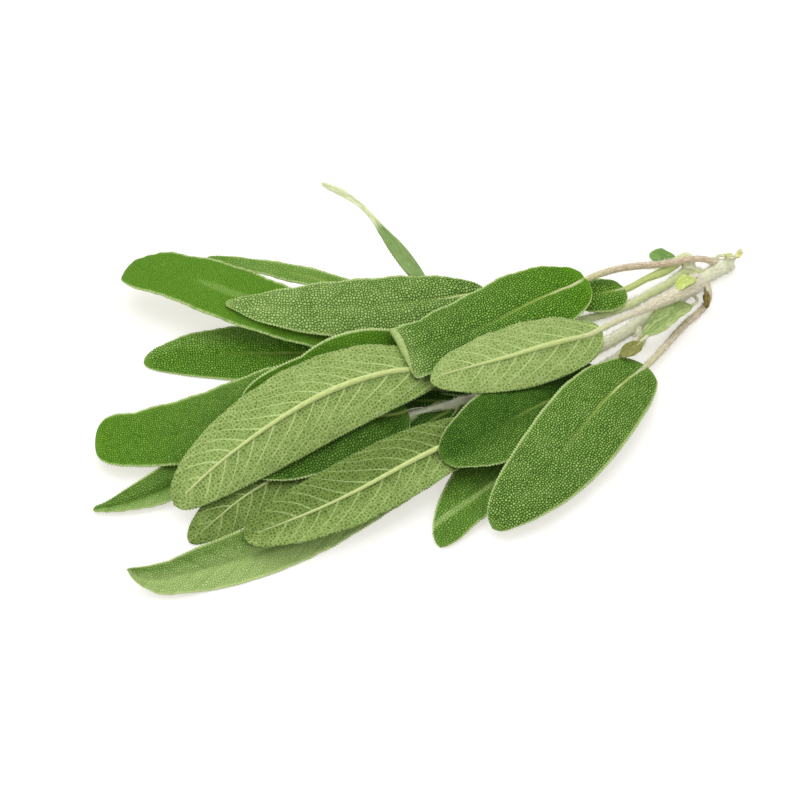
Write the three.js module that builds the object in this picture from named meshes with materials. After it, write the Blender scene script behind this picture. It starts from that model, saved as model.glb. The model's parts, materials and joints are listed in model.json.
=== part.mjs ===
// A bunch of fresh sage lying on a table, in millimetres, +Z up.
//
// The cut ends of the sprigs lie together at +X +Y, and the leaves fan out toward -X.
// Every leaf and every stem is one closed solid. The pieces are laid one at a time, from the
// table upward, and each comes down until it rests on what already lies there.

import * as THREE from 'three';
import { mergeVertices } from 'three/addons/utils/BufferGeometryUtils.js';

// ---------------------------------------------------------------------------
// Driving dimensions
// ---------------------------------------------------------------------------

const GAP = 0.35;            // clear space kept between neighbours
const BLADE_THICKNESS = 0.8; // through the blade beside its rib
const THIN_TIP = 0.55;       // the blade's thickness at its tip, as a share of that
const RIB_DEPTH = 1.0;       // how far the rib stands out under the blade
const RIB_WIDTH = 2.2;       // the rib's width at the foot of the blade
const STALK_RADIUS = 0.9;    // the leaf's own stalk
const STALK_RINGS = 3;       // cross-sections along the stalk
const LEAF_RINGS = 13;       // cross-sections along the blade, closer together at its ends
const FIRST_RING = 0.3;      // how far the first cross-section is from the joint
const STEM_SIDES = 10;       // sides of a woody stem
const STEM_RINGS = 12;       // cross-sections along a stem
const CELL = 1;              // the heap's height is kept on squares of this size
const REACH = 120;           // the heap is watched this far from the origin, each way
const HEAP_PARTS = 4;        // a leaf is tested against the heap this often between its rings
const FAR_BELOW = -1000;     // lower than anything on the table

const COLOURS = {
  upper: '#6f8a3c',
  under: '#a9b982',
  young: '#8fae4c',
  stem: '#b7ad8c',
  bud: '#8a7446',
};

// Places across a leaf, from its left margin (-1) over the rib (0) to its right margin (1). The
// two beside the rib move with the rib's width.
const BESIDE_RIB = 0.14;
const ACROSS = [-1, -0.56, -BESIDE_RIB, 0, BESIDE_RIB, 0.56, 1];
const AROUND = 2 * ACROSS.length - 2;

const radians = (degrees) => (degrees * Math.PI) / 180;
const mix = THREE.MathUtils.lerp;

// The straight distance between the ends of an arc of this length that turns so much.
const chordOf = (length, turned) =>
  Math.abs(turned) < 1e-6 ? length : (length * Math.sin(turned / 2)) / (turned / 2);

// ---------------------------------------------------------------------------
// Lines over the table
// ---------------------------------------------------------------------------

// A smooth curve through a few values that are spread evenly from 0 to 1.
function smoothThrough(values, t) {
  const points = values.map((value, i) => new THREE.Vector3(i, value, 0));
  const curve = new THREE.CatmullRomCurve3(points, false, 'catmullrom', 0.5);
  return curve.getPoint(THREE.MathUtils.clamp(t, 0, 1)).y;
}

// Walks over the table from a start, through stretches of [length, turn] that each turn evenly
// as they go, by so many degrees. Gives the place and the heading after any distance.
function planLine(start, heading, stretches) {
  return (distance) => {
    let [x, y] = start;
    let angle = radians(heading);
    let left = distance;
    for (const [length, turn] of stretches) {
      const walked = Math.min(left, length);
      const turned = radians(turn) * (walked / length);
      const chord = chordOf(walked, turned);
      x += chord * Math.cos(angle + turned / 2);
      y += chord * Math.sin(angle + turned / 2);
      angle += turned;
      left -= walked;
      if (left <= 0) break;
    }
    return { x, y, angle };
  };
}

const lengthOf = (stretches) => stretches.reduce((total, [length]) => total + length, 0);

// ---------------------------------------------------------------------------
// Solids drawn out along a line
// ---------------------------------------------------------------------------

// A sphere's poles and rings, pulled to new places. rings[i] is a closed loop of points, which
// runs clockwise as seen from the first pole. The result is one closed body.
function drawnOut(firstPole, rings, lastPole) {
  const around = rings[0].length;
  const geometry = new THREE.SphereGeometry(1, around, rings.length + 1);
  const place = geometry.attributes.position;
  for (let row = 0; row <= rings.length + 1; row += 1) {
    for (let column = 0; column <= around; column += 1) {
      let point = firstPole;
      if (row > rings.length) point = lastPole;
      else if (row > 0) point = rings[row - 1][(around - column) % around];
      place.setXYZ(row * (around + 1) + column, point.x, point.y, point.z);
    }
  }
  geometry.deleteAttribute('normal');
  geometry.deleteAttribute('uv');
  const closed = mergeVertices(geometry, 1e-4);
  closed.computeVertexNormals();
  return closed;
}

function middleOf(loop) {
  const sum = loop.reduce((total, point) => total.add(point), new THREE.Vector3());
  return sum.divideScalar(loop.length);
}

function named(name, geometry, colour) {
  const material = new THREE.MeshStandardMaterial({ color: COLOURS[colour], roughness: 0.85 });
  const made = new THREE.Mesh(geometry, material);
  made.name = name;
  return made;
}

// ---------------------------------------------------------------------------
// The heap: how high the pieces laid so far reach, over each square of the table
// ---------------------------------------------------------------------------

const heapSide = (2 * REACH) / CELL;
const heap = new Float32Array(heapSide * heapSide).fill(-GAP);
const cellOf = (x, y) => Math.round((y + REACH) / CELL) * heapSide + Math.round((x + REACH) / CELL);

// Visits points spread over a body's skin, a little closer together than the heap's squares.
function visitSkin(rows, visit) {
  const step = 0.6 * CELL;
  for (let i = 0; i + 1 < rows.length; i += 1) {
    const near = rows[i];
    const far = rows[i + 1];
    const along = Math.max(1, Math.ceil(near[0].distanceTo(far[0]) / step));
    for (let a = 0; a <= along; a += 1) {
      const loop = near.map((point, k) => point.clone().lerp(far[k], a / along));
      visitLoop(loop, step, (point) => visit(point, i + a / along));
    }
  }
}

function visitLoop(loop, step, visit) {
  for (let k = 0; k < loop.length; k += 1) {
    const next = loop[(k + 1) % loop.length];
    const around = Math.max(1, Math.ceil(loop[k].distanceTo(next) / step));
    for (let b = 0; b < around; b += 1) visit(loop[k].clone().lerp(next, b / around));
  }
}

// How far each part of a body has to rise, or may come down, to clear the heap by the gap.
function neededLifts(rows) {
  const need = new Array((rows.length - 1) * HEAP_PARTS + 1).fill(FAR_BELOW);
  visitSkin(rows, (point, row) => {
    const lift = heap[cellOf(point.x, point.y)] + GAP - point.z;
    for (const slot of [Math.floor(row * HEAP_PARTS), Math.ceil(row * HEAP_PARTS)]) {
      need[slot] = Math.max(need[slot], lift);
    }
  });
  return need;
}

// How far along the body each of those parts is.
function distancesAlong(rows, slots) {
  const middles = rows.map(middleOf);
  const distance = [0];
  for (let slot = 1; slot < slots; slot += 1) {
    const row = Math.floor((slot - 1) / HEAP_PARTS);
    distance.push(distance[slot - 1] + middles[row].distanceTo(middles[row + 1]) / HEAP_PARTS);
  }
  return distance;
}

// Works out each value of a list anew from those around it, as far away as reach.
function windowed(list, reach, from) {
  return list.map((_, i) => from(list.slice(Math.max(0, i - reach), i + reach + 1)));
}

const highest = (values) => Math.max(...values);
const average = (values) => values.reduce((a, b) => a + b) / values.length;

// Lowers or lifts a body's rows until the body rests on the heap, then adds it to the heap.
// limp is how steeply the body may sag between its supports, in mm per mm. A body that is held
// by its stem is only lifted.
function layOnHeap(rows, limp, held) {
  const need = neededLifts(rows);
  const distance = distancesAlong(rows, need.length);
  const least = held ? 0 : FAR_BELOW;
  const sagging = distance.map((here) =>
    Math.max(least, ...need.map((lift, slot) => lift - limp * Math.abs(distance[slot] - here))));
  const widened = windowed(sagging, 2 * HEAP_PARTS, highest);
  const lifts = windowed(widened, HEAP_PARTS, average);
  rows.forEach((row, i) => {
    for (const point of new Set(row)) point.z += lifts[i * HEAP_PARTS];
  });
  visitSkin(rows, addToHeap);
}

function addToHeap(point) {
  const edge = CELL / 2;
  for (const [dx, dy] of [[0, 0], [edge, 0], [-edge, 0], [0, edge], [0, -edge]]) {
    const cell = cellOf(point.x + dx, point.y + dy);
    heap[cell] = Math.max(heap[cell], point.z);
  }
}

// ---------------------------------------------------------------------------
// A leaf
// ---------------------------------------------------------------------------

const LEAF = {
  widest: 0.45,          // where the blade is widest, from its foot (0) to its tip (1)
  blunt: 0.6,            // how its ends close: 1 is long and pointed, 0.4 is short and round
  fold: [0, 0],          // how steeply its left and right half rise from the rib, in degrees
  cup: 0,                // how much further each half bends on its way to the margin
  roll: [0, 0],          // the blade's turn about its rib, at its foot and at its tip
  rise: [0, 0, 0, 0, 0], // the rib's height before it is laid down, evenly spread, joint to tip
  limp: 0.25,            // how steeply it may sag between its supports, in mm per mm
  held: false,           // whether its stem holds it up, so that it never sags
  faceDown: false,       // whether its underside is the side that shows
};
const STALK_SHARE = 0.25; // the share of rise's values that the stalk takes

// One half of a cross-section: where the blade's middle layer is at v, for a half that leaves
// the rib at one angle and bends evenly to another at its margin.
function halfWay(v, width, fold, cup) {
  const turned = radians(cup) * Math.abs(v);
  const slope = radians(fold) + turned / 2;
  const chord = chordOf(Math.abs(v) * width, turned);
  return {
    across: Math.sign(v) * chord * Math.cos(slope),
    up: chord * Math.sin(slope),
    lean: Math.sign(v) * (radians(fold) + turned),
  };
}

// How far the blade reaches to each side of its rib at t, from its foot (0) to its tip (1).
function halfWidth(leaf, t) {
  const bent = t ** (Math.log(0.5) / Math.log(leaf.widest));
  const share = Math.sin(Math.PI * THREE.MathUtils.clamp(bent, 0, 1)) ** leaf.blunt;
  return Math.max(STALK_RADIUS, (leaf.width / 2) * share);
}

// How far a face is from the blade's middle layer. side is 1 on the upper face and -1 on the
// underside, where the rib stands out.
function depthAt(t, v, side) {
  const fade = 1 - t ** 2;
  const thick = (BLADE_THICKNESS / 2) * mix(THIN_TIP, 1, fade);
  if (v !== 0) return thick * (1 - Math.abs(v) ** 3);
  return side > 0 ? thick * 0.6 : thick + RIB_DEPTH * mix(0.35, 1, fade);
}

// A point of a cross-section at t, as [across, up] about the rib.
function bladePoint(leaf, t, place, side) {
  const half = halfWidth(leaf, t);
  const ribEdge = Math.min(0.3, RIB_WIDTH / 2 / half);
  const v = Math.abs(place) === BESIDE_RIB ? Math.sign(place) * ribEdge : place;
  const open = Math.sin(Math.PI * t) ** 0.5;
  const fold = (v < 0 ? leaf.fold[0] : leaf.fold[1]) * mix(0.5, 1, open);
  const { across, up, lean } = halfWay(v, half, fold, leaf.cup * open);
  const depth = side * depthAt(t, v, side);
  return [across - depth * Math.sin(lean), up + depth * Math.cos(lean)];
}

// The loop of points around the blade: its upper face from the left margin to the right, then
// its underside back again.
function bladeSection(leaf, t) {
  const upper = ACROSS.map((place) => bladePoint(leaf, t, place, 1));
  const under = ACROSS.slice(1, -1).reverse().map((place) => bladePoint(leaf, t, place, -1));
  return [...upper, ...under];
}

// The loop of points around the stalk: nearly round, with as many points as the blade has.
function stalkSection() {
  const loop = [];
  for (let k = 0; k < AROUND; k += 1) {
    const angle = Math.PI - (2 * Math.PI * k) / AROUND;
    loop.push([STALK_RADIUS * Math.cos(angle), STALK_RADIUS * Math.sin(angle)]);
  }
  return loop;
}

// The rib's height at a distance from the joint.
function riseAt(leaf, distance) {
  const { stalkLength, bladeLength, rise } = leaf;
  const beyond = (distance - stalkLength) / bladeLength;
  if (beyond > 0) return smoothThrough(rise, STALK_SHARE + (1 - STALK_SHARE) * beyond);
  return smoothThrough(rise, STALK_SHARE * (distance / stalkLength));
}

// Sets a cross-section's points in place, at a distance from the joint.
function placed(leaf, section, distance, roll) {
  const { x, y, angle } = leaf.line(distance);
  const from = Math.max(0, distance - 0.5);
  const to = Math.min(leaf.stalkLength + leaf.bladeLength, distance + 0.5);
  const climb = (riseAt(leaf, to) - riseAt(leaf, from)) / (to - from);
  const forward = new THREE.Vector3(Math.cos(angle), Math.sin(angle), climb).normalize();
  const right = new THREE.Vector3(Math.sin(angle), -Math.cos(angle), 0);
  right.applyAxisAngle(forward, radians(leaf.faceDown ? roll + 180 : roll));
  const up = new THREE.Vector3().crossVectors(right, forward);
  const rib = new THREE.Vector3(x, y, riseAt(leaf, distance));
  return section.map(([across, over]) =>
    rib.clone().addScaledVector(right, across).addScaledVector(up, over));
}

function stalkRings(leaf) {
  const rings = [];
  for (let i = 0; i < STALK_RINGS; i += 1) {
    const share = i / STALK_RINGS;
    const distance = leaf.stalkLength * share + FIRST_RING;
    rings.push(placed(leaf, stalkSection(), distance, leaf.roll[0] * share));
  }
  return rings;
}

function bladeRings(leaf) {
  const rings = [];
  for (let i = 0; i < LEAF_RINGS; i += 1) {
    const even = (i + 0.35) / LEAF_RINGS;
    const t = (1 - Math.cos(Math.PI * even)) / 2;
    const distance = leaf.stalkLength + t * leaf.bladeLength;
    rings.push(placed(leaf, bladeSection(leaf, t), distance, mix(...leaf.roll, t)));
  }
  return rings;
}

// One leaf. It leaves its joint on the stem, runs along its stalk and then its blade, and is
// laid on the heap.
function leaf(spec) {
  const made = { ...LEAF, ...spec };
  made.stalkLength = lengthOf(made.stalk);
  made.bladeLength = lengthOf(made.blade);
  made.line = planLine(made.joint, made.heading, [...made.stalk, ...made.blade]);
  const rings = [...stalkRings(made), ...bladeRings(made)];
  const [foot] = placed(made, [[0, 0]], 0, 0);
  const [tip] = placed(made, [[0, 0]], made.stalkLength + made.bladeLength, 0);
  layOnHeap([Array(AROUND).fill(foot), ...rings, Array(AROUND).fill(tip)], made.limp, made.held);
  const colour = made.colour ?? (made.faceDown ? 'under' : 'upper');
  return named(made.name, drawnOut(foot, rings, tip), colour);
}

// ---------------------------------------------------------------------------
// A stem
// ---------------------------------------------------------------------------

const STEM_LIMP = 0.06; // a woody stem sags less than a leaf

function stemRing(spec, line, t) {
  const { x, y, angle } = line(lengthOf(spec.route) * t);
  const radius = mix(...spec.radius, t);
  const z = smoothThrough(spec.rise, t);
  const loop = [];
  for (let k = 0; k < STEM_SIDES; k += 1) {
    const around = (2 * Math.PI * k) / STEM_SIDES;
    const side = radius * Math.cos(around);
    const up = radius * Math.sin(around);
    loop.push(new THREE.Vector3(x - side * Math.sin(angle), y + side * Math.cos(angle), z + up));
  }
  return loop;
}

function stem(spec) {
  const line = planLine(spec.start, spec.heading, spec.route);
  const rings = [];
  for (let i = 0; i <= STEM_RINGS; i += 1) rings.push(stemRing(spec, line, i / STEM_RINGS));
  layOnHeap(rings, STEM_LIMP, false);
  const ends = [middleOf(rings[0]), middleOf(rings[STEM_RINGS])];
  return named(spec.name, drawnOut(ends[0], rings, ends[1]), 'stem');
}

// ---------------------------------------------------------------------------
// The bunch, from the table upward. Each piece has its own joint, heading and stretches.
// ---------------------------------------------------------------------------

const bunch = new THREE.Group();

const pieces = [
  { kind: stem, name: 'stem_long', start: [93, 62], heading: 206, route: [[9, 20], [34, -6], [70, -22]],
    radius: [2.2, 1.5], rise: [3, 3, 3] },
  { kind: stem, name: 'stem_back', start: [80, 57], heading: 221, route: [[18, -4], [20, -26], [50, 2]],
    radius: [1.3, 1.0], rise: [2, 2, 2] },
  { kind: stem, name: 'stem_side', start: [64, 29], heading: 222, route: [[56, -6]],
    radius: [1.4, 1.1], rise: [3, 3, 3] },
  { kind: leaf, name: 'leaf_left_low', joint: [-4, 24], heading: 178, stalk: [[8, 0]],
    blade: [[46, 4], [20, 12]], width: 21, blunt: 0.5, roll: [-5, -10], fold: [8, 8], cup: -15,
    rise: [2, 2, 2, 2, 1] },
  { kind: leaf, name: 'leaf_left_pointed', joint: [-4, 2], heading: 195, stalk: [[16, 8]],
    blade: [[62, 8], [14, -24]], width: 16, blunt: 0.75, roll: [-10, -10], fold: [20, 20],
    rise: [2, 2, 2, 1, 2] },
  { kind: leaf, name: 'leaf_front_low', joint: [20, -12], heading: 215, stalk: [[8, 0]],
    blade: [[50, -3], [41, -12], [12, -50]], width: 15, widest: 0.58, blunt: 0.6, roll: [-25, -30],
    fold: [10, 20], rise: [3, 3, 2, 1, 3] },
  { kind: leaf, name: 'leaf_front_small', joint: [48, 9], heading: 228, stalk: [[12, 0]],
    blade: [[24, 2], [36, 19]], width: 18, blunt: 0.5, fold: [15, 15], cup: -10, rise: [3, 3, 2, 1, 1] },
  { kind: leaf, name: 'leaf_small_turned', joint: [-4, -4], heading: 205, stalk: [[16, 6]],
    blade: [[56, 18]], width: 17, blunt: 0.5, roll: [-15, -15], faceDown: true, rise: [3, 3, 2, 2, 1] },
  { kind: leaf, name: 'leaf_back_narrow', joint: [6, 30], heading: 157, stalk: [[12, 0]],
    blade: [[59, 10]], width: 12, roll: [-10, -10], fold: [10, 10], cup: -10,
    rise: [5, 7, 9, 10, 12], held: true },
  { kind: leaf, name: 'leaf_back_left', joint: [4, 20], heading: 168, stalk: [[8, 0]],
    blade: [[61, -16], [26, 26]], width: 20, widest: 0.62, blunt: 0.4, roll: [-15, 0],
    fold: [12, 12], cup: -25, rise: [4, 5, 7, 8, 7], held: true },
  { kind: leaf, name: 'leaf_left_broad', joint: [6, 17], heading: 191, stalk: [[8, 0]],
    blade: [[50, 24], [43, -42]], width: 21, widest: 0.66, blunt: 0.34, roll: [-10, -14],
    fold: [8, 8], cup: -15, rise: [5, 6, 5, 4, 3] },
  { kind: leaf, name: 'leaf_under_middle', joint: [1, 0], heading: 204, stalk: [[4, 0]],
    blade: [[50, 10]], width: 22, blunt: 0.4, roll: [-20, -20], fold: [8, 8], cup: -10,
    rise: [4, 5, 5, 4, 4] },
  { kind: leaf, name: 'leaf_front_long', joint: [37, 4], heading: 216, stalk: [[14, 2]],
    blade: [[42, -2], [44, -12]], width: 19, widest: 0.55, blunt: 0.42, roll: [-20, -20],
    fold: [-10, -10], faceDown: true, rise: [5, 6, 6, 4, 3] },
  { kind: leaf, name: 'leaf_centre_dark', joint: [72, 37], heading: 228, stalk: [[30, 0]],
    blade: [[60, -14]], width: 26, blunt: 0.45, roll: [-10, -10], fold: [8, 8], cup: -20,
    rise: [4, 5, 6, 5, 3] },
  { kind: leaf, name: 'leaf_front_right', joint: [85.5, 49], heading: 242, stalk: [[9, -4], [29, -4]],
    blade: [[25, 4], [25, -4], [26, -8]], width: 24, blunt: 0.42, roll: [-15, -15], fold: [6, 6], cup: -20,
    rise: [3, 4, 4, 2, 1] },
  { kind: leaf, name: 'leaf_young_folded', joint: [81, 43], heading: 225, stalk: [[2, 0]],
    blade: [[22, 0]], width: 9, blunt: 0.8, fold: [30, 30], colour: 'young', rise: [3, 3, 3, 2, 2] },
  { kind: leaf, name: 'leaf_back_upright', joint: [9, 40], heading: 140, stalk: [[8, 0]],
    blade: [[18, 2], [19, 16]], width: 5, widest: 0.32, roll: [-30, -80], fold: [10, 10],
    colour: 'young', rise: [7, 9, 18, 27, 30], held: true },
  { kind: leaf, name: 'leaf_back_large', joint: [44, 38], heading: 136, stalk: [[25, 64]],
    blade: [[50, -13], [27, -23]], width: 21, widest: 0.42, blunt: 0.72, roll: [-15, -15], fold: [10, 10],
    cup: -30, rise: [5, 9, 11, 13, 12] },
  { kind: leaf, name: 'leaf_middle_rim', joint: [20, 28], heading: 235, stalk: [[18, -45]],
    blade: [[24, 12], [44, 18]], width: 17, widest: 0.35, blunt: 0.7, roll: [-25, -15],
    fold: [10, 20], rise: [5, 8, 10, 9, 7] },
  { kind: leaf, name: 'leaf_large_turned', joint: [31, 14], heading: 184, stalk: [[26, 13]],
    blade: [[40, 18], [46, 12]], width: 25, blunt: 0.45, roll: [-15, -20], fold: [8, 8], cup: 10,
    faceDown: true, rise: [8, 12, 13, 10, 5], limp: 0.35 },
  { kind: leaf, name: 'leaf_tiny_back', joint: [88, 63], heading: 182, stalk: [[11, -10]],
    blade: [[8, -6]], width: 7, blunt: 0.45, rise: [2, 2, 2, 3, 3], held: true },
  { kind: leaf, name: 'leaf_round_small', joint: [80, 61], heading: 219, stalk: [[24, -8]],
    blade: [[15, -14]], width: 13, blunt: 0.45, roll: [-10, -10], cup: -20,
    rise: [2, 3, 4, 5, 5], held: true },
  { kind: leaf, name: 'leaf_right_arched', joint: [86, 59.5], heading: 196, stalk: [[30, 4], [10, 16]],
    blade: [[62, -6]], width: 26, blunt: 0.4, roll: [-10, -10], fold: [10, 10], cup: -30,
    rise: [3, 9.5, 14, 16, 17] },
  { kind: leaf, name: 'leaf_middle_turned', joint: [81, 47], heading: 224, stalk: [[38, -8]],
    blade: [[53, -24]], width: 20, blunt: 0.45, roll: [-20, -20], fold: [5, 5], cup: 10,
    faceDown: true, rise: [5, 11, 15, 16, 15] },
  { kind: leaf, name: 'leaf_young_bright', joint: [81.5, 48], heading: 228, stalk: [[2, 0]],
    blade: [[8, 0]], width: 5, fold: [20, 20], colour: 'young', rise: [2, 2, 3, 3, 2] },
  { kind: leaf, name: 'leaf_young_olive', joint: [65, 25], heading: 228, stalk: [[2, 0]],
    blade: [[9, 0]], width: 5, fold: [10, 10], colour: 'young', rise: [2, 2, 2, 2, 2] },
  { kind: leaf, name: 'bud_side', joint: [84.8, 48.5], heading: 268, stalk: [[1, 0]],
    blade: [[5, 0]], width: 3, fold: [30, 30], colour: 'bud', rise: [2, 2, 2, 2, 2] },
  { kind: leaf, name: 'bract_end_far', joint: [89.5, 61.5], heading: 350, stalk: [[1, 0]], blade: [[3, 40]],
    width: 2, fold: [30, 30], colour: 'young', rise: [4, 4, 4, 4, 4], held: true },
  { kind: leaf, name: 'bract_end_near', joint: [95.8, 63.5], heading: 255, stalk: [[1, 0]],
    blade: [[3, -20]], width: 2, fold: [30, 30], colour: 'young', rise: [2, 2, 2, 2, 2] },
];

for (const piece of pieces) bunch.add(piece.kind(piece));

// The origin is under the middle of the bunch, on the table.
const box = new THREE.Box3().setFromObject(bunch);
const middle = box.getCenter(new THREE.Vector3());
bunch.position.set(-middle.x, -middle.y, -box.min.z);

export default bunch;
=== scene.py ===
# %% [markdown]
# # A bunch of fresh sage
# The bunch lies on a table: two dozen leaves fan out from three woolly stems. Its solids are
# loaded as a fixed frame, and each one is then dressed. A leaf becomes a thin blade with veins,
# pebbled skin and a toothed margin, and a stem becomes a square, hairy twig.

# %% Load the frame
import json
import math

import bmesh
import bpy
import numpy as np
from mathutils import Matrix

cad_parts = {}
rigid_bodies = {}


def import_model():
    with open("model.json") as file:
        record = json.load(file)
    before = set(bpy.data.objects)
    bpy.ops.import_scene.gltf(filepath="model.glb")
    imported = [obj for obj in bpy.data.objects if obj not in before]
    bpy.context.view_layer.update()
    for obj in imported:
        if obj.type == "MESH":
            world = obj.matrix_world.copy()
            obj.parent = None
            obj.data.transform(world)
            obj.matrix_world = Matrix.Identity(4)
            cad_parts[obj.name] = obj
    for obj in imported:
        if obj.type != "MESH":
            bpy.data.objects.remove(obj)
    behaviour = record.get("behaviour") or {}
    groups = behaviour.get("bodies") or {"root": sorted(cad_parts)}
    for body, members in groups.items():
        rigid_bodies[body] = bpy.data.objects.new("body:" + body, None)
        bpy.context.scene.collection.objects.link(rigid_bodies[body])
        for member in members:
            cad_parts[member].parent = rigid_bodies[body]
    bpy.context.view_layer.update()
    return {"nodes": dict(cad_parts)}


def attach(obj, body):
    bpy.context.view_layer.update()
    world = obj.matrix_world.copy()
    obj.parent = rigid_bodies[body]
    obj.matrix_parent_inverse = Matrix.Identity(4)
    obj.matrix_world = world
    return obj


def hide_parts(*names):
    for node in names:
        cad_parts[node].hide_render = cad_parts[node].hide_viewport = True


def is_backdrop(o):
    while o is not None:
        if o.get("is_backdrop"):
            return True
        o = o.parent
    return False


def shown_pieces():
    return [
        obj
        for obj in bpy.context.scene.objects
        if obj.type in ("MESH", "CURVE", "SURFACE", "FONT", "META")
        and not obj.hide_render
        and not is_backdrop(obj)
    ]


for spare in list(bpy.data.objects):
    bpy.data.objects.remove(spare)
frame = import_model()
MM = 0.001
print("loaded", len(frame["nodes"]), "nodes")

# %% [markdown]
# ## Camera, light and table
# Herbs are pictured from halfway above, under a big soft light and on white. A long lens keeps
# the near leaves from looking larger than the far ones. The white of the table is its own
# colour, so the leaves are never overlit to get it.

# %% Camera
LENS = 120
DISTANCE = 740 * MM
TILT = math.radians(45)
AIM = (-8.85 * MM, -1.0 * MM, 7.6 * MM)


def add_camera():
    """A long lens that looks down on the bunch from the front."""
    place = (AIM[0], AIM[1] - DISTANCE * math.cos(TILT), AIM[2] + DISTANCE * math.sin(TILT))
    bpy.ops.object.camera_add(location=place, rotation=(math.radians(90) - TILT, 0, 0))
    camera = bpy.context.object
    camera.data.lens = LENS
    camera.data.clip_start = 10 * MM
    bpy.context.scene.camera = camera
    return camera


print("camera at", tuple(round(c, 3) for c in add_camera().location))

# %% [markdown]
# A softbox, a window and a reflector would light herbs on a table. Square lamps do the same. The
# overhead lamp is the widest, for soft shadows. The window brightens the right-hand leaves, and
# the low fill keeps the felted undersides from going grey. The surround looks pure white, but it
# lights a little less than that.

# %% Lights
# Each lamp has its place and its width in metres, and its power in watts.
LAMPS = {
    "overhead": ((-0.12, 0.2, 0.75), 0.8, 3.0),
    "window": ((0.4, -0.3, 0.6), 0.7, 0.8),
    "low fill": ((-0.6, -0.3, 0.2), 0.5, 1.1),
}
SKY = 0.62


def add_soft_box(name, place, size, watts):
    """A square lamp that looks at the middle of the bunch."""
    bpy.ops.object.light_add(type="AREA", location=place)
    lamp = bpy.context.object
    lamp.name = name
    lamp.data.size = size
    lamp.data.energy = watts
    lamp.rotation_euler = (-lamp.location).to_track_quat("-Z", "Y").to_euler()


def add_sky(strength):
    """A plain surround, seen as pure white, that lights the bunch at this strength."""
    world = bpy.data.worlds.new("white surround")
    bpy.context.scene.world = world
    world.use_nodes = True
    nodes, links = world.node_tree.nodes, world.node_tree.links
    path = nodes.new("ShaderNodeLightPath")
    level = nodes.new("ShaderNodeMapRange")
    level.inputs["To Min"].default_value = strength
    level.inputs["To Max"].default_value = 1
    links.new(path.outputs["Is Camera Ray"], level.inputs["Value"])
    back = nodes["Background"]
    back.inputs["Color"].default_value = (1, 1, 1, 1)
    links.new(level.outputs["Result"], back.inputs["Strength"])


for name, lamp in LAMPS.items():
    add_soft_box(name, *lamp)
add_sky(SKY)
bpy.context.scene.view_settings.view_transform = "Standard"
print(len(LAMPS), "lamps")

# %% [markdown]
# The table is a plain wide sheet, and only its shadow and its white are seen. A white that is
# only painted would go grey in the shade of the room. So the table has one colour for the light
# that bounces off it, and another, with a slight glow, for the eye.

# %% Table
TABLE_SIZE = 6
TABLE_LIT = (0.66, 0.66, 0.64, 1)
TABLE_SEEN = (0.50, 0.51, 0.54, 1)
TABLE_GLOW = (0.62, 0.60, 0.54, 1)


def add_table():
    """A white plane that still keeps the shadow of the bunch."""
    bpy.ops.mesh.primitive_plane_add(size=TABLE_SIZE)
    table = bpy.context.object
    table.name = "table"
    finish = bpy.data.materials.new("white table")
    finish.use_nodes = True
    nodes, links = finish.node_tree.nodes, finish.node_tree.links
    shader = nodes["Principled BSDF"]
    shader.inputs["Roughness"].default_value = 0.9
    shader.inputs["Specular IOR Level"].default_value = 0.1
    path = nodes.new("ShaderNodeLightPath")
    white = nodes.new("ShaderNodeMix")
    white.data_type = "RGBA"
    white.inputs["A"].default_value = TABLE_LIT
    white.inputs["B"].default_value = TABLE_SEEN
    links.new(path.outputs["Is Camera Ray"], white.inputs["Factor"])
    links.new(white.outputs["Result"], shader.inputs["Base Color"])
    shader.inputs["Emission Color"].default_value = TABLE_GLOW
    links.new(path.outputs["Is Camera Ray"], shader.inputs["Emission Strength"])
    table.data.materials.append(finish)
    table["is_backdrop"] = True


add_table()
print("table", TABLE_SIZE, "m wide")

# %% [markdown]
# ## Reading a solid back
# Every leaf and stem of the frame is drawn out between two end points, through rings that hold
# the same number of corners. Walking outward from one end point gives the rings in order, and
# they are all that the finer shapes need.

# %% Rings of a solid
WELD = 1e-6


def ring_in_order(corners):
    """Corners of one ring, each next to its neighbour."""
    loop = [min(corners, key=lambda corner: corner.index)]
    left = corners - {loop[0]}
    while left:
        near = [edge.other_vert(loop[-1]) for edge in loop[-1].link_edges]
        step = next(corner for corner in near if corner in left)
        loop.append(step)
        left.discard(step)
    return np.array([corner.co for corner in loop])


def rings_of(name):
    """First end point, rings in order, and last end point of a frame node."""
    mesh = bmesh.new()
    mesh.from_mesh(frame["nodes"][name].data)
    bmesh.ops.remove_doubles(mesh, verts=mesh.verts, dist=WELD)
    mesh.verts.index_update()
    ends = sorted(mesh.verts, key=lambda corner: len(corner.link_edges))[-2:]
    ends.sort(key=lambda corner: corner.index)
    layers = [{ends[0]}]
    seen = {ends[0]}
    while ends[1] not in seen:
        fresh = {edge.other_vert(c) for c in layers[-1] for edge in c.link_edges} - seen
        layers.append(fresh)
        seen |= fresh
    rings = [ring_in_order(layer) for layer in layers[1:-1]]
    first, last = np.array(ends[0].co), np.array(ends[1].co)
    mesh.free()
    return first, rings, last


def centres_of(rings):
    """The centre line of a piece, one point for each ring."""
    return np.array([ring.mean(axis=0) for ring in rings])


def girth(ring):
    """Mean radius of a ring."""
    return np.linalg.norm(ring - ring.mean(axis=0), axis=1).mean()


print("the long stem has", len(rings_of("stem_long")[1]), "rings")

# %% [markdown]
# A leaf's rings don't say where its margins are, or which side is the upper one. A margin is
# where a ring mirrors best onto itself. The upper side is the hollow one, because the rib stands
# out of the underside.

# %% Margins and upper side
BLADE_RINGS = 13


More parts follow.
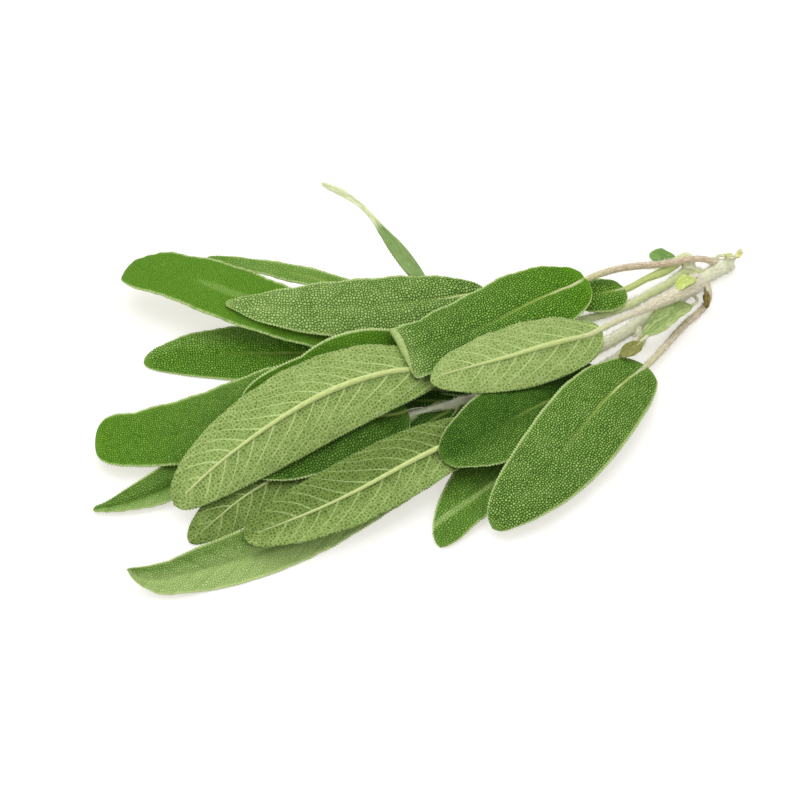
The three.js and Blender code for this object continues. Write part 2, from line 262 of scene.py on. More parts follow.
def margins_first(ring):
    """The four ways to start at a margin: both margins, both ways round."""
    half = len(ring) // 2

    def slack(start):
        turned = np.roll(ring, -start, axis=0)
        return sum(np.linalg.norm(turned[j] - turned[-j]) for j in range(1, half))

    best = min(range(half), key=slack)
    ways = []
    for start in (best, best + half):
        turned = np.roll(ring, -start, axis=0)
        ways += [turned, np.roll(turned[::-1], 1, axis=0)]
    return ways


def arranged(rings):
    """Blade rings that all start at the same margin and run over the upper side first."""
    out = [margins_first(rings[0])[0]]
    for ring in rings[1:]:
        out.append(min(margins_first(ring), key=lambda way: ((way - out[-1]) ** 2).sum()))
    out = np.array(out)
    half = out.shape[1] // 2
    over, under = out[:, half // 2], out[:, -(half // 2)]
    beside = (out[:, half // 2 - 1] + out[:, half // 2 + 1]) / 2
    below = (out[:, -(half // 2) - 1] + out[:, -(half // 2) + 1]) / 2
    outward = over - under
    bulge = ((over - beside) * outward).sum() - ((under - below) * -outward).sum()
    if bulge > 0:
        out = np.roll(out[:, ::-1], 1, axis=1)
    return out


print("a blade has", BLADE_RINGS, "rings")

# %% [markdown]
# The stalk's rings are nearly circles and the blade's are flat, which tells the two ends of a
# leaf apart. Half-way between the two sides runs the middle sheet. It is all that is kept of the
# blade, because a real blade is much thinner than its solid.


# %% Stalk and middle sheet
def roundness(rings):
    """1 where rings are circles, and near 0 where they are flat."""
    spreads = [np.linalg.svd(ring - ring.mean(axis=0), compute_uv=False) for ring in rings]
    return min(spread[1] / spread[0] for spread in spreads)


def read_leaf(name):
    """The stalk's centres, the blade's middle sheet, seven places across, and its tip."""
    first, rings, last = rings_of(name)
    if roundness(rings[:3]) < roundness(rings[-3:]):
        first, rings, last = last, rings[::-1], first
    stalk = np.array([first, *centres_of(rings[:-BLADE_RINGS])])
    loops = arranged(rings[-BLADE_RINGS:])
    half = loops.shape[1] // 2
    upper = loops[:, : half + 1]
    under = np.concatenate([loops[:, :1], loops[:, :half - 1:-1]], axis=1)
    sheet = (upper + under) / 2
    ahead = np.diff(sheet.mean(axis=1), axis=0)
    over = np.cross(ahead, (sheet[:, -1] - sheet[:, 0])[1:])
    if (over * (upper - under)[1:, half // 2]).sum() < 0:
        sheet = sheet[:, ::-1]
    return stalk, sheet, last


print("a middle sheet has", read_leaf("leaf_back_large")[1].shape[:2], "known points")

# %% [markdown]
# ## Smooth lines through few points
# A blade is known at thirteen rings and seven places across. A cubic spline fills in between,
# because it bends evenly and passes through every known point.

# %% Splines
TINY = 1e-12


def spline_weights(knots, places):
    """Weights that turn values at the knots into a smooth curve's values at the places."""
    gap = np.diff(knots)
    count = len(knots)
    bend, pull = np.eye(count), np.zeros((count, count))
    for i in range(1, count - 1):
        bend[i, i - 1:i + 2] = gap[i - 1], 2 * (gap[i - 1] + gap[i]), gap[i]
        pull[i, i - 1:i + 2] = 6 / gap[i - 1], -6 / gap[i - 1] - 6 / gap[i], 6 / gap[i]
    curl = np.linalg.solve(bend, pull)
    k = np.clip(np.searchsorted(knots, places) - 1, 0, count - 2)
    b = (places - knots[k]) / gap[k]
    a = 1 - b
    weights = np.zeros((len(places), count))
    rows = np.arange(len(places))
    weights[rows, k] += a
    weights[rows, k + 1] += b
    weights += ((a ** 3 - a) * gap[k] ** 2 / 6)[:, None] * curl[k]
    weights += ((b ** 3 - b) * gap[k] ** 2 / 6)[:, None] * curl[k + 1]
    return weights


def run(points):
    """Distance along a line of points, from its start."""
    steps = np.linalg.norm(np.diff(points, axis=0), axis=1)
    return np.concatenate([[0], np.cumsum(steps)])


def between(places, length, values):
    """Values that are known along a line, read off at other distances from its start."""
    return np.stack([np.interp(places, length, column) for column in values.T], axis=-1)


def unit(vectors):
    """The same directions, each of length one."""
    return vectors / np.maximum(np.linalg.norm(vectors, axis=-1, keepdims=True), TINY)


long_stem = centres_of(rings_of("stem_long")[1])
print("the long stem is", round(run(long_stem)[-1] / MM), "mm long")

# %% [markdown]
# ## Laying a grid
# A blade is a sheet that bends both ways, so it could be cut from a box or bent from a plane. A
# flat grid is quicker: its corners are moved to where the surface runs, as a cloth is laid over a
# form, and its rows and columns stay known.

# %% A grid laid over points
def corners_of(piece):
    """The places of a piece's corners, one row for each."""
    flat = np.empty(len(piece.data.vertices) * 3)
    piece.data.vertices.foreach_get("co", flat)
    return flat.reshape(-1, 3)


def laid_grid(name, points):
    """A grid primitive with a corner at each of rows x columns points."""
    rows, columns = points.shape[:2]
    bpy.ops.object.select_all(action="DESELECT")
    bpy.ops.mesh.primitive_grid_add(x_subdivisions=rows - 1, y_subdivisions=columns - 1, size=2)
    piece = bpy.context.object
    piece.name = name
    flat = corners_of(piece)
    row = np.rint((flat[:, 0] + 1) / 2 * (rows - 1)).astype(int)
    column = np.rint((flat[:, 1] + 1) / 2 * (columns - 1)).astype(int)
    piece.data.vertices.foreach_set("co", points[row, column].ravel())
    piece.data.update()
    return piece, row, column


# %% [markdown]
# A finish can't know by itself where on a leaf it is. So every corner carries marks of three
# numbers each, which the finishes and the relief read:
#
# - `skin_place`: millimetres along the rib and off it, and how much finer the grain is
# - `skin_tone`: depth of the green, warmth, and how pale the rib is. On a stalk it's how far
#   along it the corner is, and how rosy it is there
# - `skin_relief`: heights of grain and network in millimetres, and then the crowns of the teeth
#   on the upper side, or the strength of the side veins on the underside

# %% Marks on the corners
def mark(piece, name, values):
    """Writes three numbers on each corner."""
    marks = piece.data.attributes.get(name)
    if marks is None:
        marks = piece.data.attributes.new(name, "FLOAT_VECTOR", "POINT")
    marks.data.foreach_set("vector", np.ascontiguousarray(values, dtype=np.float32).ravel())


def marks_on(piece, name):
    """Reads the three numbers of each corner back."""
    values = np.empty(len(piece.data.vertices) * 3)
    piece.data.attributes[name].data.foreach_get("vector", values)
    return values.reshape(-1, 3)


# %% [markdown]
# Stalks, ribs and stems are round. There the grid is rolled up into a tube around a line. Its
# seam is merged and its two ends are drawn together, so that the skin is closed. A stem's
# section has four blunt corners, which a wave of four around the tube gives.

# %% Rolled tube
def in_edit_mode(piece, *steps):
    """Runs edit-mode operators on all of a piece."""
    bpy.ops.object.select_all(action="DESELECT")
    piece.select_set(True)
    bpy.context.view_layer.objects.active = piece
    bpy.ops.object.mode_set(mode="EDIT")
    bpy.ops.mesh.select_all(action="SELECT")
    for step in steps:
        step()
    bpy.ops.object.mode_set(mode="OBJECT")


def tube_points(centres, radii, sides, ridge):
    """Rings of points around a line, closed to a point at both ends."""
    ahead = unit(np.gradient(centres, axis=0))
    side = unit(np.cross(ahead, (0, 0, 1)))
    over = np.cross(side, ahead)
    around = np.linspace(0, 2 * math.pi, sides + 1)
    reach = radii[:, None] * (1 + ridge * np.cos(4 * around))[None]
    points = (centres[:, None] + side[:, None] * (reach * np.cos(around))[..., None]
              + over[:, None] * (reach * np.sin(around))[..., None])
    return np.concatenate([points[:1] * 0 + centres[0], points, points[:1] * 0 + centres[-1]])


def rolled_tube(name, centres, radii, sides, ridge=0.0):
    """A closed tube along a line, marked in millimetres along and around it."""
    piece, row, column = laid_grid(name, tube_points(centres, radii, sides, ridge))
    along = run(centres)
    along = np.concatenate([along[:1], along, along[-1:]])[row] / MM
    around = column / sides * 2 * math.pi * radii.mean() / MM
    mark(piece, "skin_place", np.stack([along, around, along * 0], axis=1))
    mark(piece, "skin_tone", np.stack([along / along.max(), along * 0, along * 0], axis=1))
    in_edit_mode(piece, lambda: bpy.ops.mesh.remove_doubles(threshold=WELD),
                 lambda: bpy.ops.mesh.normals_make_consistent(inside=False))
    bpy.ops.object.shade_smooth()
    return piece


def joined(pieces, name):
    """One piece made of several, with a new name."""
    bpy.ops.object.select_all(action="DESELECT")
    for piece in pieces:
        piece.select_set(True)
    bpy.context.view_layer.objects.active = pieces[0]
    bpy.ops.object.join()
    pieces[0].name = name
    return pieces[0]


# %% [markdown]
# ## Node helpers
# A finish and a relief are both small networks of nodes. One helper adds a node, sets it up and
# hands back its output, so that the same pattern can drive the colour and the shape alike.

# %% Nodes in a tree
def add(tree, kind, output, inputs=(), **settings):
    """Adds a node, fills or links its inputs, and hands back one output."""
    made = tree.nodes.new(kind)
    for key, value in settings.items():
        setattr(made, key, value)
    for key, value in dict(inputs).items():
        if isinstance(value, bpy.types.NodeSocket):
            tree.links.new(value, made.inputs[key])
        else:
            made.inputs[key].default_value = value
    return made.outputs[output]


def split(tree, vector):
    """The three numbers of a vector."""
    parts = tree.nodes.new("ShaderNodeSeparateXYZ")
    tree.links.new(vector, parts.inputs[0])
    return parts.outputs["X"], parts.outputs["Y"], parts.outputs["Z"]


def maths(tree, operation, first, second=0.0):
    """One step of arithmetic."""
    return add(tree, "ShaderNodeMath", 0, {0: first, 1: second}, operation=operation)


def plus(tree, first, second):
    return maths(tree, "ADD", first, second)


def times(tree, first, second):
    return maths(tree, "MULTIPLY", first, second)


def stretch(tree, value, low, high, start=0.0, end=1.0):
    """Turns low..high into start..end with soft ends."""
    ends = {"Value": value, "From Min": low, "From Max": high, "To Min": start, "To Max": end}
    return add(tree, "ShaderNodeMapRange", "Result", ends, interpolation_type="SMOOTHSTEP")


def noise(tree, place, scale, detail):
    """Soft uneven patches. A larger scale makes smaller ones."""
    ends = {"Vector": place, "Scale": scale, "Detail": detail}
    return add(tree, "ShaderNodeTexNoise", "Fac", ends)


# %% Colours
def blend(tree, factor, first, second):
    """The first colour at 0, the second at 1, and a mix between."""
    ends = {"Factor": factor, "A": first, "B": second}
    return add(tree, "ShaderNodeMix", "Result", ends, data_type="RGBA")


def paint(red, green, blue):
    """A colour as a paint chart gives it, 0 to 255, in Blender's linear light."""
    def linear(level):
        level /= 255
        return level / 12.92 if level <= 0.04045 else ((level + 0.055) / 1.055) ** 2.4
    return (linear(red), linear(green), linear(blue), 1)


print("leaf green in linear light:", tuple(round(level, 3) for level in paint(38, 78, 4)))

# %% [markdown]
# ## The pattern of sage skin
# Sage is known by its pebbled upper side: every mesh of the finest veins swells into a grain
# under a millimetre across. Larger meshes, and the veins that frame them, stand out in pale felt
# on the underside. Voronoi cells have that look. They are counted in millimetres along and
# across each leaf, so they follow its bends.

# %% Grain and network
# Widths of one cell, in millimetres.
GRAIN = 0.8
MESH = 1.0
NETWORK = 2.1
# How high the coarse and the fine veinlets stand, where 1 is the full relief.
COARSE_RISE = 0.85
FINE_RISE = 0.72


def cells(tree, place, size, disorder):
    """Distance from the nearest cell edge."""
    ends = {"Vector": place, "Scale": 1 / size, "Randomness": disorder}
    return add(tree, "ShaderNodeTexVoronoi", "Distance", ends,
               voronoi_dimensions="2D", feature="DISTANCE_TO_EDGE")


def grain_height(tree, place):
    """1 on top of a grain, 0 in the groove around it. The third mark makes finer grain."""
    finer = split(tree, place)[2]
    sized = add(tree, "ShaderNodeVectorMath", 0, {0: place, "Scale": finer}, operation="SCALE")
    return stretch(tree, cells(tree, sized, GRAIN, 0.85), 0.03, 0.38)


def network_height(tree, place):
    """1 on a veinlet, 0 inside a mesh: coarse meshes with fine ones inside them."""
    coarse = stretch(tree, cells(tree, place, NETWORK, 0.9), 0.01, 0.1, COARSE_RISE, 0)
    fine = stretch(tree, cells(tree, place, MESH, 0.8), 0.06, 0.26, FINE_RISE, 0)
    return maths(tree, "MAXIMUM", coarse, fine)


print("grain", GRAIN, "mm, meshes", MESH, "and", NETWORK, "mm")

# %% [markdown]
# ## Side veins
# Side veins leave the rib at a slant, by turns left and right, and arch toward the tip. One rule
# gives them all: it tells how far along the rib a vein would start that runs through a place. A
# vein is there wherever this start is a whole number of steps. The rule is written in numbers,
# to shape the sheet, and once more in nodes, to draw the same veins sharply in a finish.

# %% Side veins
VEIN_STEP = 6.0
VEIN_SLANT = 0.85
VEIN_ARCH = 0.1
VEIN_FOOTING = 0.72
STAGGER = 0.45
DRIFT = 1.3
DRIFT_ALONG, DRIFT_OFF = 0.19, 0.13


def side_veins(along, off, width):
    """How strongly a side vein runs through each point, from 0 to 1."""
    drift = DRIFT * np.sin(DRIFT_ALONG * along + DRIFT_OFF * off)
    start = along - VEIN_SLANT * np.abs(off) - VEIN_ARCH * off ** 2 + drift
    turn = start / VEIN_STEP + np.where(off > 0, 0.0, STAGGER)
    away = np.abs(turn - np.rint(turn)) * VEIN_STEP * VEIN_FOOTING
    return np.exp(-(away / width) ** 2)


def side_vein_lines(tree, along, off, width):
    """The same veins as lines for a finish, sharp at any size and finer toward the margin."""
    reach = maths(tree, "ABSOLUTE", off)
    lean = times(tree, reach, plus(tree, times(tree, reach, VEIN_ARCH), VEIN_SLANT))
    wave = plus(tree, times(tree, along, DRIFT_ALONG), times(tree, off, DRIFT_OFF))
    drift = times(tree, maths(tree, "SINE", wave), DRIFT)
    start = plus(tree, maths(tree, "SUBTRACT", along, lean), drift)
    far_side = times(tree, maths(tree, "LESS_THAN", off, 0.0), STAGGER)
    turn = plus(tree, maths(tree, "DIVIDE", start, VEIN_STEP), far_side)
    away = times(tree, maths(tree, "PINGPONG", turn, 0.5), VEIN_STEP * VEIN_FOOTING)
    finer = stretch(tree, reach, 0.0, 11.0, 1.0, 2.2)
    return stretch(tree, times(tree, away, finer), width * 0.35, width, 1, 0)


print("a side vein every", VEIN_STEP, "mm")

# %% [markdown]
# ## Relief of the skin
# Grain that is only painted looks printed as soon as the light comes in low. So the pattern also
# moves the corners of the mesh, by about a tenth of a millimetre. Geometry Nodes read the same
# marks as a finish does, and once their modifier is applied the relief is plain shape.

# %% Relief of the skin
def attribute(tree, name):
    """The three numbers that are marked on the corners under this name."""
    return add(tree, "GeometryNodeInputNamedAttribute", "Attribute", {"Name": name},
               data_type="FLOAT_VECTOR")


def skin_relief():
    """Moves each corner along its normal by the grain and the network, as its marks say."""
    tree = bpy.data.node_groups.new("skin relief", "GeometryNodeTree")
    for way in ("INPUT", "OUTPUT"):
        tree.interface.new_socket("Geometry", in_out=way, socket_type="NodeSocketGeometry")
    shape = add(tree, "NodeGroupInput", "Geometry")
    place = attribute(tree, "skin_place")
    grain_most, network_most, _ = split(tree, attribute(tree, "skin_relief"))
    grain = times(tree, grain_height(tree, place), grain_most)
    network = times(tree, network_height(tree, place), network_most)
    rise = times(tree, plus(tree, grain, network), MM)
    normal = add(tree, "GeometryNodeInputNormal", "Normal")
    step = add(tree, "ShaderNodeVectorMath", 0, {0: normal, "Scale": rise}, operation="SCALE")
    moved = add(tree, "GeometryNodeSetPosition", "Geometry", {"Geometry": shape, "Offset": step})
    out = tree.nodes.new("NodeGroupOutput")
    tree.links.new(moved, out.inputs[0])
    return tree


SKIN_RELIEF = skin_relief()
print("skin relief has", len(SKIN_RELIEF.nodes), "nodes")

# %% [markdown]
# ## Leaf finishes
# The upper side is a vivid green, lighter on each grain and darker in the grooves. This is partly
# the grain's own colour, and partly a painted highlight on the crowns and painted shade in the
# grooves. How deep, pale or warm a leaf is comes from marks on its own corners, so that one
# finish serves the whole bunch. A little sheen gives the soft glow of fine hair.

# %% Marks that a finish reads
def read_marks(tree, name):
    """A mark as a vector, and its three numbers."""
    vector = add(tree, "ShaderNodeAttribute", "Vector", attribute_name=name)
    return vector, *split(tree, vector)


def tone_ramp(tree, depth, pale, fresh, deep):
    """Pale, fresh and deep shades of one colour, chosen by depth."""
    ramp = tree.nodes.new("ShaderNodeValToRGB")
    ramp.color_ramp.elements[0].color = pale
    ramp.color_ramp.elements[1].color = deep
    ramp.color_ramp.elements.new(0.5).color = fresh
    tree.links.new(depth, ramp.inputs["Fac"])
    return ramp.outputs["Color"]


def new_finish(name, roughness, sheen, glow, gloss=0.3):
    """A material with the soft glow of short hair, with its node tree and its shader."""
    finish = bpy.data.materials.new(name)
    finish.use_nodes = True
    shader = finish.node_tree.nodes["Principled BSDF"]
    shader.inputs["Roughness"].default_value = roughness
    shader.inputs["Specular IOR Level"].default_value = gloss
    shader.inputs["Sheen Weight"].default_value = sheen
    shader.inputs["Sheen Roughness"].default_value = 0.45
    shader.inputs["Sheen Tint"].default_value = glow
    return finish, finish.node_tree, shader


def bumped(tree, shader, height, depth):
    """The finest relief, which shows only in how light falls on it."""
    normal = add(tree, "ShaderNodeBump", "Normal",
                 {"Height": height, "Distance": depth, "Strength": 1.0})
    tree.links.new(normal, shader.inputs["Normal"])


# %% Upper side
def upper_finish():
    """Pebbled green, grooves in painted shade, crowns in painted highlight; pale rib and teeth.
    """
    finish, tree, shader = new_finish("sage upper side", 0.65, 0.02, paint(205, 225, 165),
                                      gloss=0.12)
    place, along, off, _ = read_marks(tree, "skin_place")
    _, depth, warmth, rib = read_marks(tree, "skin_tone")
    _, relief, _, bead = read_marks(tree, "skin_relief")
    patches = noise(tree, place, 0.16, 3)
    depth = plus(tree, depth, stretch(tree, patches, 0.3, 0.7, -0.06, 0.06))
    veins = times(tree, side_vein_lines(tree, along, off, 0.3), 0.4)
    top = times(tree, grain_height(tree, place), maths(tree, "SUBTRACT", 1.0, veins))
    contrast = stretch(tree, relief, 0.0, 0.12, 0.35, 1.1)
    top = plus(tree, times(tree, maths(tree, "SUBTRACT", top, 0.5), contrast), 0.5)
    # Grooves and crowns are partly the grain's own colour, partly painted shade and painted
    # highlight.
    groove = tone_ramp(tree, depth, paint(122, 156, 66), paint(38, 78, 4), paint(8, 30, 0))
    crown = tone_ramp(tree, depth, paint(212, 230, 162), paint(162, 198, 102), paint(84, 128, 46))
    skin = blend(tree, top, groove, crown)
    # The sunny green also gets painted shade in the grooves and a painted highlight on the
    # crowns.
    sunny = blend(tree, top, paint(46, 98, 0), paint(122, 174, 32))
    skin = blend(tree, warmth, skin, sunny)
    skin = blend(tree, rib, skin, paint(172, 192, 96))
    skin = blend(tree, bead, skin, paint(212, 230, 158))
    tree.links.new(skin, shader.inputs["Base Color"])
    bumped(tree, shader, top, 0.10 * MM)
    return finish


UPPER = upper_finish()
print(UPPER.name, "has", len(UPPER.node_tree.nodes), "nodes")

# %% [markdown]
# The underside is a dry grey-green felt. Its hair is thickest on the network of veinlets, so the
# felt colour covers them and the green shows through inside each mesh. Side veins are drawn over
# it as pale lines. A bump of the same pattern makes the finest relief, which corners can't.

# %% Underside
def under_finish():
    """Felt over green, thicker on the network, with pale side veins."""
    finish, tree, shader = new_finish("sage felted underside", 0.85, 0.15, paint(225, 232, 195))
    place, along, off, _ = read_marks(tree, "skin_place")
    _, depth, warmth, _ = read_marks(tree, "skin_tone")
    _, _, _, strength = read_marks(tree, "skin_relief")
    network = network_height(tree, place)
    fibres = noise(tree, place, 2.6, 4)
    patches = noise(tree, place, 0.2, 2)
    depth = plus(tree, depth, stretch(tree, patches, 0.3, 0.7, -0.1, 0.1))
    mesh = tone_ramp(tree, depth, paint(146, 169, 88), paint(87, 118, 36), paint(46, 74, 14))
    felt = tone_ramp(tree, depth, paint(200, 216, 152), paint(178, 201, 121), paint(136, 162, 79))
    cover = plus(tree, times(tree, network, 0.8), stretch(tree, fibres, 0.35, 0.75, 0.0, 0.4))
    skin = blend(tree, cover, mesh, felt)
    skin = blend(tree, warmth, skin, paint(150, 178, 80))
    veins = times(tree, side_vein_lines(tree, along, off, 0.36), strength)
    skin = blend(tree, times(tree, veins, 0.75), skin, paint(206, 224, 152))
    tree.links.new(skin, shader.inputs["Base Color"])
    height = plus(tree, maths(tree, "MAXIMUM", network, veins), times(tree, fibres, 0.5))
    bumped(tree, shader, height, 0.1 * MM)
    return finish


UNDER = under_finish()
print(UNDER.name, "has", len(UNDER.node_tree.nodes), "nodes")

# %% [markdown]
# ## Finishes of stalks and stems
# Stalks and stems are woolly: off-white, rosy where the sun browned them, and green where a
# stalk becomes the rib. Noise that is drawn out along the stalk looks like combed fibres. Light
# goes a little way into wool, which subsurface gives. The stems share this finish.

# %% Stalk and rib finish
def softened(shader, weight):
    """Lets some light through, as short white hair does."""
    shader.inputs["Subsurface Weight"].default_value = weight
    shader.inputs["Subsurface Radius"].default_value = (1, 0.9, 0.6)
    shader.inputs["Subsurface Scale"].default_value = 1.5 * MM


def combed(tree, place, draw_out, scale, detail):
    """Noise drawn out along a piece, like fibres."""
    streaks = add(tree, "ShaderNodeMapping", "Vector", {"Vector": place, "Scale": draw_out})
    return noise(tree, streaks, scale, detail)


def stalk_finish():
    """Combed wool, white or rosy on the stalk and green along the rib."""
    finish, tree, shader = new_finish("sage stalk and rib", 0.8, 0.3, paint(240, 238, 225))
    softened(shader, 0.35)
    place, _, _, _ = read_marks(tree, "skin_place")
    _, along, blush, _ = read_marks(tree, "skin_tone")
    fibres = combed(tree, place, (0.35, 2.4, 1), 1.6, 5)
    strand = stretch(tree, fibres, 0.35, 0.7)
    wool = blend(tree, strand, paint(223, 224, 187), paint(253, 251, 237))
    rosy = blend(tree, strand, paint(184, 151, 118), paint(234, 219, 192))
    strand = stretch(tree, fibres, 0.3, 0.7)
    green = blend(tree, strand, paint(190, 208, 122), paint(222, 234, 162))
    skin = blend(tree, blush, wool, rosy)
    skin = blend(tree, stretch(tree, along, 0.2, 0.4), skin, green)
    tree.links.new(skin, shader.inputs["Base Color"])
    bumped(tree, shader, fibres, 0.15 * MM)
    return finish


STALK_FINISH = stalk_finish()
print(STALK_FINISH.name, "has", len(STALK_FINISH.node_tree.nodes), "nodes")

# %% [markdown]
# ## Tender leaves, bracts and bud
# Young leaves have no grain yet. They are smooth, silky and pale, each in its own shade, and the
# bud's scales are brown and dry. So one recipe, with two shades and soft fibres, makes a finish
# for each of them. Where a tender leaf is marked as deep, its greener side shows.

# %% Tender finishes
# Each has its name, its darker and its lighter shade, and its roughness.
TENDER_SHADES = {
    "leaf_back_upright": ("pale twisted leaf", (220, 232, 152), (254, 255, 230), 0.6),
    "leaf_young_folded": ("tender folded leaf", (140, 166, 88), (196, 212, 146), 0.6),
    "leaf_young_bright": ("bright tender leaf", (178, 200, 84), (220, 232, 146), 0.6),
    "leaf_young_olive": ("olive tender leaf", (118, 120, 48), (154, 154, 82), 0.6),
    "leaf_tiny_back": ("small spoon leaf", (92, 136, 52), (142, 176, 92), 0.6),
    "bract_end_far": ("pale bract", (206, 210, 132), (244, 244, 200), 0.6),
    "bract_end_near": ("yellow bract", (214, 206, 110), (244, 240, 184), 0.6),
    "bud_side": ("dry bud scales", (98, 86, 32), (164, 147, 80), 0.75),
}


def tender_finish(name, low, high, roughness):
    """A smooth young skin: soft fibres along the leaf and a slightly lighter rib."""
    finish, tree, shader = new_finish(name, roughness, 0.2, paint(235, 240, 220))
    place, _, _, _ = read_marks(tree, "skin_place")
    _, depth, _, rib = read_marks(tree, "skin_tone")
    fibres = combed(tree, place, (0.4, 1.8, 1), 1.5, 4)
    skin = blend(tree, stretch(tree, fibres, 0.3, 0.7), paint(*low), paint(*high))
    skin = blend(tree, times(tree, rib, 0.5), skin, paint(225, 230, 180))
    skin = blend(tree, depth, skin, blend(tree, fibres, paint(96, 138, 54), paint(152, 186, 106)))
    tree.links.new(skin, shader.inputs["Base Color"])
    bumped(tree, shader, fibres, 0.08 * MM)
    return finish


TENDER = {node: tender_finish(*shades) for node, shades in TENDER_SHADES.items()}
print(len(TENDER), "tender finishes")

# %% [markdown]
# ## How each leaf looks
# Leaves of one sprig differ, so each has a short list of how it departs from a plain leaf.
#
# - depth of the green, from 0, pale, to 1, deep, and what its two halves (`one_side`,
#   `other_side`), its `tip`, its very `end`, its `lower` half or a `band` along it add to that
# - `warm`, `warm_foot` and `warm_tip`: how sunny the green is; `blush`: how rosy the stalk is;
#   `fresh`: how green it is
# - `grain`, in millimetres, and its `size`; `veins`: their dents; `side`: how plainly side veins
#   are drawn on the underside; `rib` and `rim`: how pale the rib and the margin are
# - `step`: how fine the mesh is, in millimetres; `teeth` and `thick`, in millimetres
# - `crease`, `narrow`, `waist`, `lift`, `tip_shape` and `curl`: how the sheet is bent and cut
# - `stalk`, `swell` and `broad`: how thick the stalk, its foot and the rib are; `hairs`: how many
#   stand on a millimetre of stalk
#
# Several numbers in brackets go, in that order, to the step of the same name further down.

# %% Looks of the leaves
PLAIN = {
    "depth": 0.5, "one_side": 0, "other_side": 0, "tip": 0, "end": 0, "lower": 0, "band": None,
    "warm": 0.1, "warm_foot": 0, "warm_tip": 0, "blush": 0.3, "fresh": 0.0,
    "grain": 0.10, "size": 1, "veins": 0.13, "side": 0.55, "rib": 1.0, "rim": 1.0,
    "step": 0.32, "teeth": 0.2, "thick": 0.5,
    "crease": 0.4, "narrow": 1.0, "waist": (), "lift": 0.0, "tip_shape": None, "curl": None,
    "stalk": 1.0, "swell": 1.0, "broad": 1.0, "hairs": 0,
}
SMOOTH = {"depth": 0, "grain": 0.02, "teeth": 0.06, "veins": 0.04, "stalk": 0.55, "rib": 0.5,
          "rim": 0.3}
LOOKS = {
    "leaf_left_low": {"depth": 0.62, "other_side": -0.35, "warm": 0.6, "size": 0.9},
    "leaf_left_pointed": {"depth": 0.6, "one_side": -0.45, "warm": 0.3, "grain": 0.06,
                          "size": 0.8, "crease": 1.0},
    # Front low leaf: its other side is painted darker, as shade from the leaf lying over it, and
    # its one side a little lighter, as painted light.
    "leaf_front_low": {"depth": -0.05, "one_side": -0.15, "other_side": 0.5, "grain": 0.06,
                       "size": 0.75, "veins": 0.25, "crease": 1.0, "curl": (8, 6, 55, 0),
                       "tip_shape": (0.88, 1.6, 0.9, 1, 2), "waist": ((0.9, 0.07, 0.35, True),)},
    # Front small leaf: its band is a painted highlight along the ridge of its fold.
    "leaf_front_small": {"depth": 0.62, "warm": 0.35, "grain": 0.06,
                         "band": (0.0, 0.9, -0.9, 0.35, 0.98, -20)},
    "leaf_small_turned": {"depth": 0.95},
    "leaf_back_narrow": {"depth": 0.42, "warm": 0.45, "grain": 0.03, "teeth": 0.1,
                         "narrow": 0.55, "tip_shape": (0.9, 3, 0.5, 0)},
    # Back left leaf: its band is a pale streak along the rib, a painted highlight.
    "leaf_back_left": {"depth": 0.72, "band": (0.0, 1.1, -1.3, 0.35, 0.75, 0), "warm": 0.75,
                       "grain": 0.04, "size": 0.8, "rib": 0.2, "step": 0.38, "teeth": 0.12,
                       "crease": 0.1, "tip_shape": (0.8, 2.2, 0.55, 0, 2.2)},
    "leaf_left_broad": {"depth": 0.58, "warm": 0.15, "warm_tip": 0.7, "grain": 0.08,
                        "size": 0.72, "crease": 0.2, "tip_shape": (0.88, 3, 0.45, 0)},
    "leaf_under_middle": {"depth": 0.9, "warm": 0.25, "blush": 0.0, "grain": 0.08, "rim": 1.4,
                          "stalk": 0.15},
    "leaf_front_long": {"depth": 0.95, "one_side": 0.15, "other_side": -0.3, "stalk": 1.25,
                        "broad": 1.15},
    "leaf_centre_dark": {"depth": 1.0, "one_side": -0.3, "warm": 0.25, "grain": 0.09,
                         "size": 0.85, "stalk": 1.3},
    "leaf_front_right": {"warm_foot": 0.3, "blush": 0.7, "grain": 0.13, "size": 0.92,
                         "rim": 1.2, "stalk": 1.2, "hairs": 12},
    "leaf_back_upright": {**SMOOTH, "lower": 0.9, "rib": 0.1, "teeth": 0.08, "crease": 0,
                          "waist": ((0.54, 0.15, 0.65), (0.88, 0.12, -0.35)),
                          "tip_shape": (0.84, 3, 0.5, 0), "stalk": 0.25},
    "leaf_back_large": {"depth": 0.42, "tip": -0.2, "grain": 0.13, "size": 1.05, "rib": 0.25},
    "leaf_middle_rim": {"depth": 0.92, "warm": 0.7, "grain": 0.05, "rim": 1.8,
                        "waist": ((0.62, 0.12, 0.45, True),), "tip_shape": (0.55, 5, 0.4, -9)},
    "leaf_large_turned": {"side": 0.95, "lift": 1.3, "stalk": 1.2, "broad": 1.45},
    "leaf_round_small": {"warm": 0.5, "blush": 0.0, "fresh": 0.25, "stalk": 1.2, "swell": 1.8},
    "leaf_right_arched": {"depth": 0.58, "end": -0.9, "warm": 0.2, "warm_foot": 0.8,
                          "blush": 0.8, "grain": 0.11, "rim": 1.3, "curl": (3.6, 1.2, 165, -6),
                          "tip_shape": (0.84, 9, 0.25, 3.5), "stalk": 1.2, "hairs": 12},
    "leaf_middle_turned": {"depth": 0.4, "blush": 0.45, "side": 0.8, "stalk": 1.1,
                           "swell": 2.8, "broad": 1.4, "hairs": 14},
    # Young folded leaf: its band darkens the crease of the fold, as painted shade.
    "leaf_young_folded": {**SMOOTH, "band": (0.0, 0.7, 0.6, 0.1, 0.95, 0)},
    "leaf_young_bright": SMOOTH,
    "leaf_young_olive": SMOOTH,
    "leaf_tiny_back": SMOOTH,
    "bract_end_far": SMOOTH,
    "bract_end_near": SMOOTH,
    "bud_side": {**SMOOTH, "thick": 1.3, "narrow": 0.75},
}
print(len(LOOKS), "looks")

